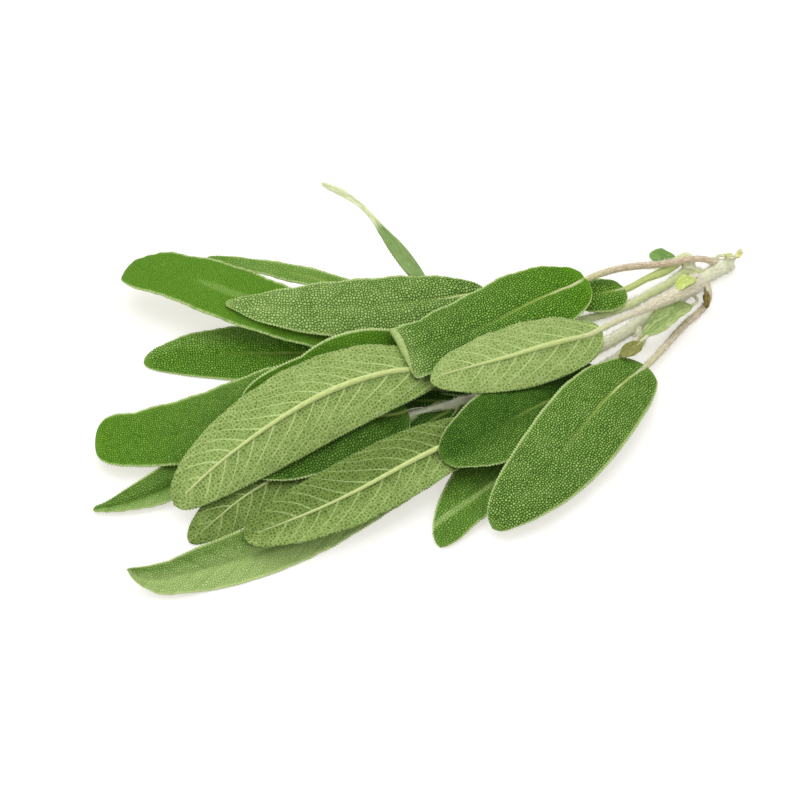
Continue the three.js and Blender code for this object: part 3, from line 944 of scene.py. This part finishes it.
# %% [markdown]
# ## Shape of the sheet
# The frame's leaves are plain and even. Real ones are drawn in to a waist, fold less sharply, or
# lie with one margin propped up on a neighbour. These steps move only the few known points of
# the middle sheet, so that the spline keeps every change smooth.

# %% Fold, waist and lift
# Where the tip stands, counted in rings from the blade's foot.
TIP_PLACE = 12.65


def uncreased(sheet, keep):
    """Flattens the fold along the rib, and keeps this share of it."""
    middle = sheet.shape[1] // 2
    level = (sheet[:, middle - 1] + sheet[:, middle + 1]) / 2
    flatter = sheet.copy()
    flatter[:, middle] = level + keep * (sheet[:, middle] - level)
    return flatter


def waisted(sheet, place, spread, amount, far_only=False):
    """Draws a leaf in to a waist, on both sides or on the far one."""
    middle = sheet.shape[1] // 2
    share = np.arange(len(sheet)) / TIP_PLACE
    width = 1 - amount * np.exp(-((share - place) / spread) ** 2)
    width = np.repeat(width[:, None], sheet.shape[1], axis=1)
    if far_only:
        width[:, middle:] = 1
    rib = sheet[:, middle:middle + 1]
    return rib + (sheet - rib) * width[..., None]


def lifted(sheet, amount):
    """Raises the margin that lies on another leaf, so that it stays in sight."""
    across = np.linspace(-1, 1, sheet.shape[1])
    rise = amount * MM * np.clip(across, 0, 1) ** 2
    return sheet + np.array([0, 0, 1]) * rise[None, :, None]


def shaped_sheet(sheet, look):
    """The middle sheet with the fold, width, waists and lift of this leaf."""
    sheet = uncreased(sheet, look["crease"])
    sheet = sheet[:, :1] + (sheet - sheet[:, :1]) * look["narrow"]
    for waist in look["waist"]:
        sheet = waisted(sheet, *waist)
    return lifted(sheet, look["lift"])


print("the tip stands at ring", TIP_PLACE)

# %% [markdown]
# ## Fine surface of a blade
# The few known points now become a fine grid of points. Its rows follow the blade from foot to
# tip, and its columns follow the width, so each row and column can be shaped like a real part of
# the leaf: the rib, the margins, the tip.

# %% Fine surface
ROWS_FINER = 0.9
COLUMNS_WIDER = 2.5
LEAST_ROWS, LEAST_COLUMNS = 16, 5
FIRST_LOOK = 200
# Rows are spaced mostly by length, and a little by ring, which puts more of them near the tip.
BY_LENGTH, BY_RING = 0.8, 0.2
NEAR_TIP = 0.9985


def blade_surface(sheet, tip, step):
    """A fine grid over the blade's middle sheet, with its places across."""
    knots = np.append(np.arange(len(sheet)), TIP_PLACE)
    middle = sheet.shape[1] // 2
    full = np.concatenate([sheet, np.repeat(tip[None, None], sheet.shape[1], axis=1)])
    fine = np.linspace(0, TIP_PLACE, FIRST_LOOK)
    rib = run(spline_weights(knots, fine) @ full[:, middle])
    width = max(run(ring)[-1] for ring in sheet)
    rows = max(LEAST_ROWS, round(rib[-1] / step / ROWS_FINER))
    columns = 2 * max(LEAST_COLUMNS, round(width / step * ROWS_FINER / COLUMNS_WIDER))
    share = BY_LENGTH * rib / rib[-1] + BY_RING * fine / TIP_PLACE
    along = np.interp(np.linspace(0, NEAR_TIP, rows + 1), share, fine)
    across = np.linspace(-1, 1, columns + 1)
    strips = []
    for ring in sheet:
        lap = run(ring)
        lap = np.where(lap < lap[middle], lap / lap[middle] - 1,
                       (lap - lap[middle]) / (lap[-1] - lap[middle]))
        strips.append(spline_weights(lap, across) @ ring)
    strips.append(np.repeat(tip[None], columns + 1, axis=0))
    return np.einsum("ij,jkl->ikl", spline_weights(knots, along), np.array(strips)), across


def across_the_blade(points):
    """Distances along the rib and off it in millimetres, and the sheet's normals."""
    middle = points.shape[1] // 2
    along = np.repeat(run(points[:, middle])[:, None], points.shape[1], axis=1) / MM
    gaps = np.linalg.norm(np.diff(points, axis=1), axis=2)
    off = np.zeros(points.shape[:2])
    off[:, 1:] = np.cumsum(gaps, axis=1)
    off = (off - off[:, middle][:, None]) / MM
    normal = unit(np.cross(np.gradient(points, axis=0), np.gradient(points, axis=1)))
    return along, off, normal


_, known_sheet, known_tip = read_leaf("leaf_back_large")
large_leaf, _ = blade_surface(known_sheet, known_tip, PLAIN["step"] * MM)
print("the large leaf gets", large_leaf.shape[:2], "points")

# %% [markdown]
# ## Tip, curl and margin
# Some tips are round, some square or hooked, and a dry one rolls up and shows its felt. So the
# rows near a tip are made wider or narrower, or are wound onto a small roll. The margin of sage
# has fine round teeth, one for each millimetre or so. They are pushed out of the last columns.

# %% Tip and curl
def reshaped_tip(points, start, power, sharpness, longer, aside=0.0):
    """Rounds or squares the tip, makes it longer or shorter, and bends it to the far side."""
    rib = points[:, points.shape[1] // 2]
    length = run(rib)
    first = int(np.searchsorted(length, start * length[-1]))
    rest = length[-1] - length[first]
    share = (length[first:] - length[first]) / rest
    width = np.maximum(1 - share ** power, 0.0) ** sharpness
    half = points[first] - rib[first]
    far = points[first, 0] - rib[first]
    stretched = rib[first] + (rib[first:] - rib[first]) * (1 + longer * MM / rest)
    stretched += (far / np.linalg.norm(far))[None] * (aside * MM * share ** 2)[:, None]
    points[first:] = stretched[:, None] + half[None] * np.maximum(width, 0.03)[:, None, None]
    return points


def curled(points, normal, length, radius, degrees, skew):
    """Rolls the last stretch before the tip up and back, so that its felt shows."""
    middle = points.shape[1] // 2
    left = run(points[:, middle])
    bend = int(np.argmin(np.abs(left[-1] - left - length * MM)))
    ahead = points[bend + 1, middle] - points[bend - 3, middle]
    ahead /= np.linalg.norm(ahead)
    up = normal[bend - 2, middle]
    skew = math.radians(skew)
    ahead = ahead * math.cos(skew) + np.cross(up, ahead) * math.sin(skew)
    past = np.maximum(((points - points[bend, middle]) * ahead).sum(axis=2), 0)
    past[:bend // 2] = 0
    radius = radius * MM
    most = math.radians(degrees)
    turn = np.clip(past / radius, 0, most)
    beyond = np.maximum(past - radius * most, 0)
    along = radius * np.sin(turn) + beyond * np.cos(turn)
    rise = radius * (1 - np.cos(turn)) + beyond * np.sin(turn)
    return points + (along - past)[..., None] * ahead + rise[..., None] * up


print("rolled tips:", ", ".join(node for node, look in LOOKS.items() if look.get("curl")))

# %% Teeth
TOOTH = 0.88
UNEVEN, UNEVEN_TURN = 1.3, 0.7
# Teeth grow to full size within this many millimetres of the foot and of the tip.
GROW_FOOT, GROW_TIP, LEAST_ROOM = 4, 3, 0.3
# The second column from a margin follows its teeth by this share.
FOLLOW = 0.55


def toothed(points, look):
    """Pushes the two margins out and in, tooth by tooth, and marks the tooth crowns."""
    bead = np.zeros(points.shape[:2])
    for edge, inner, deeper in ((0, 1, 4), (-1, -2, -5)):
        line = run(points[:, edge]) / MM
        tooth = np.cos(2 * math.pi * line / TOOTH + UNEVEN * np.sin(line * UNEVEN_TURN))
        out = unit(points[:, edge] - points[:, deeper])
        from_foot = np.clip(line, 0, GROW_FOOT) / GROW_FOOT
        room = from_foot * np.clip(line[-1] - line, LEAST_ROOM, GROW_TIP) / GROW_TIP
        push = look["teeth"] * MM * tooth * room
        points[:, edge] += out * push[:, None]
        points[:, inner] += out * push[:, None] * FOLLOW
        bead[:, edge] = 0.45 + 0.55 * np.clip(tooth, 0, 1)
        bead[:, inner] = 0.2 + 0.6 * np.clip(tooth, 0, 1)
    return points, bead


print("a tooth every", TOOTH, "mm")

# %% [markdown]
# ## Veins, tone and relief of a blade
# Side veins are dents from above and ridges from below, because the blade is one thin sheet. So
# they are pressed into the sheet itself, together with a slow swell and a wavy margin. Both fade
# toward the foot and the tip. The marks on the corners follow from the same distances along the
# rib and off it.

# %% Waves and veins
# Height of each wave and how far it takes to turn, in millimetres.
RIPPLE, RIPPLE_TURN = 0.25, 1.9
CRIMP, CRIMP_TURN = 0.10, 0.55
SWELL, SWELL_ALONG, SWELL_OFF = 0.12, 3.1, 2.7
VEIN_WIDTH = 0.45
CALM_FOOT, CALM_TIP = 4, 3


def calm_ends(along):
    """1 over most of a blade, and 0 at its foot and its tip."""
    to_tip = along[-1, 0] - along
    return np.clip(along / CALM_FOOT, 0, 1) * np.clip(to_tip / CALM_TIP, 0, 1)


def sheet_waves(along, off, across, look, seed):
    """How far each point leaves the smooth sheet, in millimetres."""
    phase = np.random.default_rng(seed).uniform(0, 2 * math.pi, 4)
    wave = (RIPPLE * np.abs(across) ** 3 * np.sin(along / RIPPLE_TURN + phase[0])
            + CRIMP * np.abs(across) ** 4 * np.sin(along / CRIMP_TURN + phase[1]))
    swell = SWELL * np.sin(along / SWELL_ALONG + phase[2]) * np.sin(off / SWELL_OFF + phase[3])
    dent = look["veins"] * side_veins(along, off, VEIN_WIDTH)
    return (wave + swell - dent) * calm_ends(along)


print("side veins dent a plain blade by", PLAIN["veins"], "mm")

# %% Tone
RIB_WIDTH = 0.42
LOWER_TO, LOWER_FADE = 0.56, 0.08
BAND_FADE = 0.1
# At this share of the length, a slanting band is just where its look puts it.
BAND_PIVOT = 0.7


def skin_tone(along, off, across, look):
    """Depth, warmth and the pale line of the rib, at each point of a blade."""
    share = along / along[-1, 0]
    halves = np.where(off > 0, look["one_side"], look["other_side"])
    depth = (look["depth"] + halves * np.clip(np.abs(across) * 1.6, 0, 1)
             + look["tip"] * share ** 2 + look["end"] * share ** 14
             + look["lower"] * np.clip((LOWER_TO - share) / LOWER_FADE, 0, 1))
    # A band paints light or shade along a leaf: lighter for a highlight, darker for shade.
    if look["band"]:
        place, width, amount, start, end, slope = look["band"]
        place = place + slope * (share - BAND_PIVOT)
        window = np.clip(np.minimum(share - start, end - share) / BAND_FADE, 0, 1)
        depth = depth + amount * window * np.exp(-((off - place) / width) ** 2)
    warmth = look["warm"] + look["warm_foot"] * (1 - share) ** 2 + look["warm_tip"] * share ** 2
    rib = look["rib"] * np.exp(-(off / RIB_WIDTH) ** 2) * np.clip(1.25 - 1.9 * share, 0, 1)
    return np.stack([depth, np.clip(warmth, 0, 1), rib], axis=2)


print("deepest leaf:", max(LOOKS, key=lambda node: LOOKS[node].get("depth", PLAIN["depth"])))

# %% Relief marks
NETWORK_RELIEF = 0.10


def relief_marks(along, across, rib, bead, look):
    """Grain and crowns of the teeth for the upper side, then network and veins for the other."""
    fade = np.clip((1 - np.abs(across)) * 6, 0, 1) * calm_ends(along)
    grain = look["grain"] * fade * (1 - 0.5 * rib)
    crown = np.clip(bead * look["rim"], 0, 1)
    vein = np.clip((along[-1, 0] - along - 4) / 8, 0, 1) * look["side"]
    none = np.zeros_like(along)
    over = np.stack([grain, none, crown], axis=2)
    below = np.stack([none, NETWORK_RELIEF * fade, vein], axis=2)
    return over, below


print("grain stands", PLAIN["grain"], "mm high on a plain blade")

# %% [markdown]
# ## Blade
# A blade is half a millimetre thick and thinner toward its margin. Solidify gives the sheet two
# sides, and the second material goes to the underside and the rim. Then the two sides are drawn
# together near the margins, the relief is applied, and the faces are shaded smooth.

# %% Two sides
THIN_MARGIN = 0.45


def give_two_sides(blade, thick, across):
    """Makes a sheet this thick, in millimetres, and thinner toward both margins."""
    sides = blade.modifiers.new("thickness", "SOLIDIFY")
    sides.thickness = thick * MM
    sides.offset = 0
    sides.material_offset = 1
    sides.material_offset_rim = 1
    bpy.ops.object.modifier_apply(modifier="thickness")
    both = corners_of(blade).reshape(2, -1, 3)
    centre = both.mean(axis=0)
    thin = 1 - (1 - THIN_MARGIN) * np.abs(across) ** 4
    both = centre + (both - centre) * thin[None, :, None]
    blade.data.vertices.foreach_set("co", both.ravel())


def raise_skin(blade):
    """Applies the relief of the skin, so that it is plain shape."""
    skin = blade.modifiers.new("skin", "NODES")
    skin.node_group = SKIN_RELIEF
    bpy.ops.object.modifier_apply(modifier="skin")


print("a margin has", THIN_MARGIN, "of the blade's thickness")

# %% Blade
ON_TABLE = 0.4 * MM


def make_blade(name, sheet, tip, look, seed):
    """A finished blade over a middle sheet."""
    points, across = blade_surface(sheet, tip, look["step"] * MM)
    if look["tip_shape"]:
        points = reshaped_tip(points, *look["tip_shape"])
    along, off, normal = across_the_blade(points)
    points = points + normal * sheet_waves(along, off, across, look, seed)[..., None] * MM
    points, bead = toothed(points, look)
    if look["curl"]:
        points = curled(points, normal, *look["curl"])
    points[..., 2] = np.maximum(points[..., 2], ON_TABLE)
    blade, row, column = laid_grid(name + "_blade", points)
    place = np.stack([along, off, np.full_like(along, 1 / look["size"])], axis=2)
    tone = skin_tone(along, off, across, look)
    mark(blade, "skin_place", place[row, column])
    mark(blade, "skin_tone", tone[row, column])
    blade.data.materials.append(TENDER.get(name, UPPER))
    blade.data.materials.append(TENDER.get(name, UNDER))
    give_two_sides(blade, look["thick"], across[column])
    over, below = relief_marks(along, across, tone[..., 2], bead, look)
    mark(blade, "skin_relief", np.concatenate([over[row, column], below[row, column]]))
    raise_skin(blade)
    bpy.ops.object.shade_smooth()
    return blade


print("blades lie at least", ON_TABLE / MM, "mm above the table")

# %% [markdown]
# ## Wool
# Sage stalks and stems wear soft white hair. It stands out far enough to see against the dark,
# so it is real shape and not only a finish. One thin spike is made from a cone, and copied with
# its own place, lean and length for each hair. Its finish is white, and a little light goes
# through it.

# %% Wool finish
def wool_finish():
    """White hair, a little uneven."""
    finish, tree, shader = new_finish("white wool", 0.9, 0.3, paint(245, 245, 235))
    softened(shader, 0.5)
    place = add(tree, "ShaderNodeTexCoord", "Object")
    shade = add(tree, "ShaderNodeTexNoise", "Fac", {"Vector": place, "Scale": 900.0})
    skin = blend(tree, stretch(tree, shade, 0.3, 0.7), paint(222, 222, 200), paint(250, 250, 238))
    tree.links.new(skin, shader.inputs["Base Color"])
    return finish


WOOL_FINISH = wool_finish()
print(WOOL_FINISH.name, "has", len(WOOL_FINISH.node_tree.nodes), "nodes")

# %% [markdown]
# A hair is a tapering spike. The smallest solid one has three sides and a foot, so a cone with
# three corners gives it. Thousands of hairs then still weigh little.


# %% One hair
def one_hair():
    """Corners and faces of a thin three-sided spike that stands on the origin."""
    bpy.ops.object.select_all(action="DESELECT")
    bpy.ops.mesh.primitive_cone_add(vertices=3, radius1=1, radius2=0, depth=1,
                                    location=(0, 0, 0.5), end_fill_type="NGON")
    hair = bpy.context.object
    bpy.ops.object.transform_apply(location=True)
    corners = np.array([corner.co for corner in hair.data.vertices])
    faces = [list(face.vertices) for face in hair.data.polygons]
    bpy.data.objects.remove(hair)
    return corners, faces


HAIR_CORNERS, HAIR_FACES = one_hair()
print("one hair has", len(HAIR_FACES), "faces")

# %% Hairs on a line
HAIR_LENGTH = 1.1 * MM
HAIR_FOOT = 0.07 * MM
SHORTEST, LONGEST = 0.5, 1.1
LEAN, TWIST = 0.6, 0.35
# Share of a stem's radius at which a hair begins, so that its foot is covered.
ROOTED = 0.93


def scattered(centres, radii, count, draw):
    """Foot, own direction and the stem's direction for each of many hairs."""
    length = run(centres)
    spot = draw.uniform(0, length[-1], count)
    way = between(spot, length, unit(np.gradient(centres, axis=0)))
    side = unit(np.cross(way, (0, 0, 1)))
    over = np.cross(side, way)
    turn = draw.uniform(0, 2 * math.pi, count)
    out = side * np.cos(turn)[:, None] + over * np.sin(turn)[:, None]
    lean = draw.normal(0, LEAN, (count, 1))
    twist = draw.normal(0, TWIST, (count, 1))
    axis = unit(out + way * lean + np.cross(out, way) * twist)
    radius = np.interp(spot, length, radii)
    foot = between(spot, length, centres) + out * (radius * ROOTED)[:, None]
    return foot, axis, way


def add_wool(name, centres, radii, each_mm, seed):
    """Hairs all over a stretch of stem or stalk, so many on each millimetre of it."""
    draw = np.random.default_rng(seed)
    count = int(run(centres)[-1] / MM * each_mm)
    foot, axis, way = scattered(centres, radii, count, draw)
    across = unit(np.cross(axis, way))
    third = np.cross(axis, across)
    tall = HAIR_LENGTH * draw.uniform(SHORTEST, LONGEST, count)
    clear = (foot + axis * tall[:, None])[:, 2] > 0
    foot, axis, across, third, tall = (part[clear] for part in (foot, axis, across, third, tall))
    wide = HAIR_CORNERS[:, :1] * across[:, None] + HAIR_CORNERS[:, 1:2] * third[:, None]
    high = tall[:, None, None] * HAIR_CORNERS[:, 2:] * axis[:, None]
    corners = foot[:, None] + HAIR_FOOT * wide + high
    step = len(HAIR_CORNERS)
    faces = [[i * step + k for k in face] for i in range(len(foot)) for face in HAIR_FACES]
    mesh = bpy.data.meshes.new(name)
    mesh.from_pydata(corners.reshape(-1, 3).tolist(), [], faces)
    wool = bpy.data.objects.new(name, mesh)
    bpy.context.collection.objects.link(wool)
    mesh.materials.append(WOOL_FINISH)
    in_edit_mode(wool, lambda: bpy.ops.mesh.normals_make_consistent(inside=False))
    return wool


print("a hair is up to", round(HAIR_LENGTH * LONGEST / MM, 2), "mm long")

# %% [markdown]
# ## Stalk and rib
# A sage leaf's stalk grows out of its stem, often from a thick foot, and runs on under the blade
# as the rib. Both are one tapering tube along one spline: from a point inside the nearest stem,
# through the stalk's known centres, and on just under the middle of the sheet.

# %% Where a stalk meets its stem
JOINT_REACH = 9 * MM
JOINT_AHEAD = 4 * MM


def stem_line(node):
    """The centre line of a stem, as many close points."""
    centres = centres_of(rings_of(node)[1])
    knots = np.arange(len(centres), dtype=float)
    return spline_weights(knots, np.linspace(0, knots[-1], 300)) @ centres


STEM_LINES = {node: stem_line(node) for node in sorted(frame["nodes"]) if "stem" in node}


def joint_on_stem(foot, outward, lines, reach):
    """A point inside the nearest stem where the stalk grows from it, if one is near."""
    goal = foot + outward / np.linalg.norm(outward) * JOINT_AHEAD
    near = lines[np.linalg.norm(lines - goal, axis=1).argmin()]
    if np.linalg.norm(near - foot) > reach:
        return np.empty((0, 3))
    return near[None]


print("stems to grow from:", ", ".join(STEM_LINES))

# %% Rib under the sheet
RIB_START = 0.78 * MM
RIB_END = 0.14 * MM
# How far the rib stands out of the underside at its start, and how much less further on.
PROUD = 0.55 * MM
PROUD_LESS = 0.5 * MM
SUNK_BY = 0.4
# A broad rib widens within this share of the blade's length, from here on.
BROAD_FROM, BROAD_WITHIN = 0.12, 0.25


def rib_under(sheet, look):
    """The line of the rib under a blade, and its radii."""
    middle = sheet.shape[1] // 2
    ahead = np.gradient(sheet[:, middle], axis=0)
    under = unit(np.cross(sheet[:, -1] - sheet[:, 0], ahead))
    share = run(sheet[:, middle])
    share /= share[-1]
    thick = (RIB_START + (RIB_END - RIB_START) * share ** 0.8) * look["stalk"]
    thick *= 1 + (look["broad"] - 1) * np.clip((share - BROAD_FROM) / BROAD_WITHIN, 0, 1)
    proud = PROUD - PROUD_LESS * np.clip(share / SUNK_BY, 0, 1)
    return sheet[:, middle] + under * np.maximum(thick - proud, 0)[:, None], thick


print("a rib tapers from", round(2 * RIB_START / MM, 2), "to", round(2 * RIB_END / MM, 2), "mm")

# %% Stalk and rib
STALK = 0.85 * MM
FOOT_WIDER = 1.2
TUBE_RINGS, TUBE_SIDES = 90, 10
# The tube ends at this share of its line, just short of the blade's tip.
TUBE_END = 0.97
# The mark where the stalk ends, around which the finish turns from wool to green.
GREEN_FROM = 0.3


def stalk_and_rib(name, stalk, sheet, look):
    """A round stalk that runs on as the rib, and sinks under the blade's upper side."""
    rib, thick = rib_under(sheet, look)
    lines = np.concatenate(list(STEM_LINES.values()))
    joint = joint_on_stem(stalk[0], stalk[0] - stalk[2], lines, JOINT_REACH)
    known = np.concatenate([joint, stalk[:1], stalk[2:], rib[1:]])
    own = len(joint) + len(stalk) - 1
    swelling = look["swell"] + (1 - look["swell"]) * np.linspace(0, 1, own) ** 2
    radii = np.concatenate([STALK * look["stalk"] * swelling, thick[1:]])
    radii[0] *= FOOT_WIDER
    known[:, 2] = np.maximum(known[:, 2], radii)
    length = run(known)
    weights = spline_weights(length, np.linspace(0, length[-1] * TUBE_END, TUBE_RINGS))
    line, radii = weights @ known, weights @ radii
    piece = rolled_tube(name + "_rib", line, np.maximum(radii, RIB_END), TUBE_SIDES)
    piece.data.materials.append(STALK_FINISH)
    stalk_share = length[own] / length[-1]
    tone = marks_on(piece, "skin_tone")
    tone[:, 0] = np.clip(tone[:, 0] / stalk_share * GREEN_FROM + look["fresh"], 0, 1)
    tone[:, 1] = look["blush"]
    mark(piece, "skin_tone", tone)
    if look["hairs"]:
        bare = int(TUBE_RINGS * stalk_share)
        wool = add_wool(name + "_wool", line[:bare], radii[:bare], look["hairs"], len(name))
        piece = joined([piece, wool], name + "_rib")
    return piece


print("a plain stalk is", round(2 * STALK / MM, 1), "mm thick")

# %% [markdown]
# ## Whole leaf
# Blade, stalk and rib grow as one, so they are joined into one piece. It takes the place of its
# solid and rides with it. A table names a colour slot for each kind: leaves that show their felt,
# their grain or their youth each have one of their own.

# %% Slots
TURNED = ("leaf_small_turned", "leaf_front_long", "leaf_large_turned", "leaf_middle_turned")
YOUNG = ("leaf_young_folded", "leaf_back_upright", "leaf_young_bright", "leaf_young_olive",
         "bract_end_far", "bract_end_near")
SLOT_OF = {node: "leaf_face" for node in LOOKS}
SLOT_OF.update({node: "leaf_underside" for node in TURNED})
SLOT_OF.update({node: "young_leaf" for node in YOUNG})
SLOT_OF["bud_side"] = "dry_bud"
print("slots", sorted(set(SLOT_OF.values())))


# %% Leaves, bracts and bud
def make_leaf(name, seed):
    """One leaf, bract or bud as one piece, in the place of its solid."""
    look = {**PLAIN, **LOOKS[name]}
    stalk, sheet, tip = read_leaf(name)
    sheet = shaped_sheet(sheet, look)
    blade = make_blade(name, sheet, tip, look, seed)
    rib = stalk_and_rib(name, stalk, sheet, look)
    whole = joined([blade, rib], name + "_fresh")
    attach(whole, "root")
    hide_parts(name)
    return whole


for seed, node in enumerate(sorted(frame["nodes"])):
    if node.startswith(("leaf", "bud", "bract")):
        leaf = make_leaf(node, seed)
        print(node, len(leaf.data.polygons), "faces")

# %% [markdown]
# ## Stems
# Sage stems are square, with a swelling where each pair of leaves grew. A rolled tube with four
# blunt corners gives the bark, and it is covered in wool. A side stem starts inside the long
# one, and the long one runs on a little under the leaves at its far end.

# %% Course of a stem
# The least radius of the long stem, and how far it runs on.
LEAST_STEM = 1.35 * MM
RUN_ON = 5 * MM


def thick_end_first(rings):
    """Centres and radii of a stem, from its thicker end."""
    centres = centres_of(rings)
    radii = np.array([girth(ring) for ring in rings])
    if radii[0] < radii[-1]:
        centres, radii = centres[::-1], radii[::-1]
    return centres, radii


def stem_course(name):
    """The known centres and radii of a stem, with what is added at one end."""
    centres, radii = thick_end_first(rings_of(name)[1])
    if name == "stem_long":
        further = (centres[-1] - centres[-2]) * (1, 1, 0)
        further = centres[-1] + further / np.linalg.norm(further) * RUN_ON
        radii = np.maximum(np.append(radii, radii[-1]), LEAST_STEM)
        return np.concatenate([centres, further[None]]), radii
    lines = STEM_LINES["stem_long"]
    joint = joint_on_stem(centres[0], centres[0] - centres[1], lines, 2 * JOINT_REACH)
    radii = np.concatenate([radii[:1]] * len(joint) + [radii])
    return np.concatenate([joint, centres]), radii


print("the long stem is", round(2 * stem_course("stem_long")[1][0] / MM, 1), "mm thick")

# %% Bark and wool
NODE_STEP = 24 * MM
NODE_SWELL = 0.16
NODE_LENGTH = 1.6 * MM
STEM_RINGS, STEM_SIDES = 200, 28
# The bark lies a little inside the known radius, and the stem's centre a little above it.
BARK_INSIDE, ABOVE_TABLE = 0.97, 1.03
CORNERS = 0.05
SHARPEST = math.radians(50)
WOOL_EACH_MM = 30
GREEN_BARK = {"stem_back": 0.32, "stem_long": 0.24}


def make_stem(name, seed):
    """Bark and wool of one stem as one piece, in the place of its solid."""
    centres, radii = stem_course(name)
    knots = run(centres)
    weights = spline_weights(knots, np.linspace(0, knots[-1], STEM_RINGS))
    centres, radii = weights @ centres, weights @ radii
    from_node = (run(centres) + NODE_STEP / 3) % NODE_STEP - NODE_STEP / 2
    swell = 1 + NODE_SWELL * np.exp(-(from_node / NODE_LENGTH) ** 2)
    centres[:, 2] = np.maximum(centres[:, 2], radii * swell * ABOVE_TABLE)
    bark = rolled_tube(name + "_core", centres, radii * BARK_INSIDE * swell, STEM_SIDES, CORNERS)
    bark.data.materials.append(STALK_FINISH)
    green = GREEN_BARK.get(name, 0.0)
    mark(bark, "skin_tone", np.tile((green, 0, 0), (len(bark.data.vertices), 1)))
    bpy.ops.object.shade_smooth_by_angle(angle=SHARPEST)
    wool = add_wool(name + "_wool", centres, radii * swell, WOOL_EACH_MM, seed)
    stem = joined([bark, wool], name + "_bark")
    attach(stem, "root")
    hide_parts(name)
    return stem


for seed, node in enumerate(sorted(frame["nodes"])):
    if node.startswith("stem"):
        print(node, len(make_stem(node, seed).data.polygons), "faces")

# %% [markdown]
# ## Shoot tip
# The far end of the long stem is the shoot's tip, where pairs of small leaves grow under the big
# ones. Here they also fill the deep shade between the big leaves, painted the deepest green as
# painted shade. They are hardly seen, so each one starts from a plain domed sheet and is then
# made like every other blade.

# %% Sheet of a shoot leaf
# The deepest green of these leaves is painted shade for the gap under the big leaves.
SHOOT_TIP_SHADE_LEAF = {**PLAIN, "depth": 1.0, "grain": 0.07, "step": 0.4}
SHOOT_LENGTH = 25 * MM
SHOOT_WIDTH = 9 * MM


def shoot_sheet(foot, heading):
    """Cross-sections and tip of a small leaf that lies along a heading, a little domed."""
    ahead = np.array([math.cos(heading), math.sin(heading), 0])
    side = np.array([-math.sin(heading), math.cos(heading), 0])
    share = np.arange(BLADE_RINGS)[:, None, None] / TIP_PLACE
    half = SHOOT_WIDTH / 2 * np.maximum(np.sin(math.pi * share ** 0.8), 0.1) ** 0.6
    across = np.linspace(-1, 1, 7)[None, :, None]
    rise = (1.2 * np.sin(math.pi * share) + 0.7 * across ** 2 + 0.8) * MM
    sheet = foot * (1, 1, 0) + ahead * share * SHOOT_LENGTH + side * half * across
    return sheet + np.array([0, 0, 1]) * rise, foot * (1, 1, 0) + ahead * SHOOT_LENGTH


print("a shoot leaf is", round(SHOOT_LENGTH / MM), "mm long")

# %% Pairs of shoot leaves
PAIRS_AT = (0.74, 0.87)
SPREAD = math.radians(19)


def add_shoot_leaves(node):
    """A pair of small leaves at each of a few places along a stem."""
    centres, _ = thick_end_first(rings_of(node)[1])
    length = run(centres)
    for turn, share in enumerate(PAIRS_AT):
        foot = between(share * length[-1], length, centres)
        away = centres[-1] - foot
        for side in (-1, 1):
            heading = math.atan2(away[1], away[0]) + side * SPREAD
            name = f"shoot_leaf_{2 * turn + (side + 3) // 2}"
            sheet, tip = shoot_sheet(foot, heading)
            leaf = make_blade(name, sheet, tip + (0, 0, ON_TABLE * 2), SHOOT_TIP_SHADE_LEAF, turn)
            leaf.name = name
            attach(leaf, "root")
            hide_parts(node)
            print(name, len(leaf.data.polygons), "faces")


add_shoot_leaves("stem_long")

# %% [markdown]
# ## Triangle count
# The triangles of all shown pieces are counted.

# %% Triangles
total = 0
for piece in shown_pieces():
    piece.data.calc_loop_triangles()
    total += len(piece.data.loop_triangles)
print("triangles in all", total)
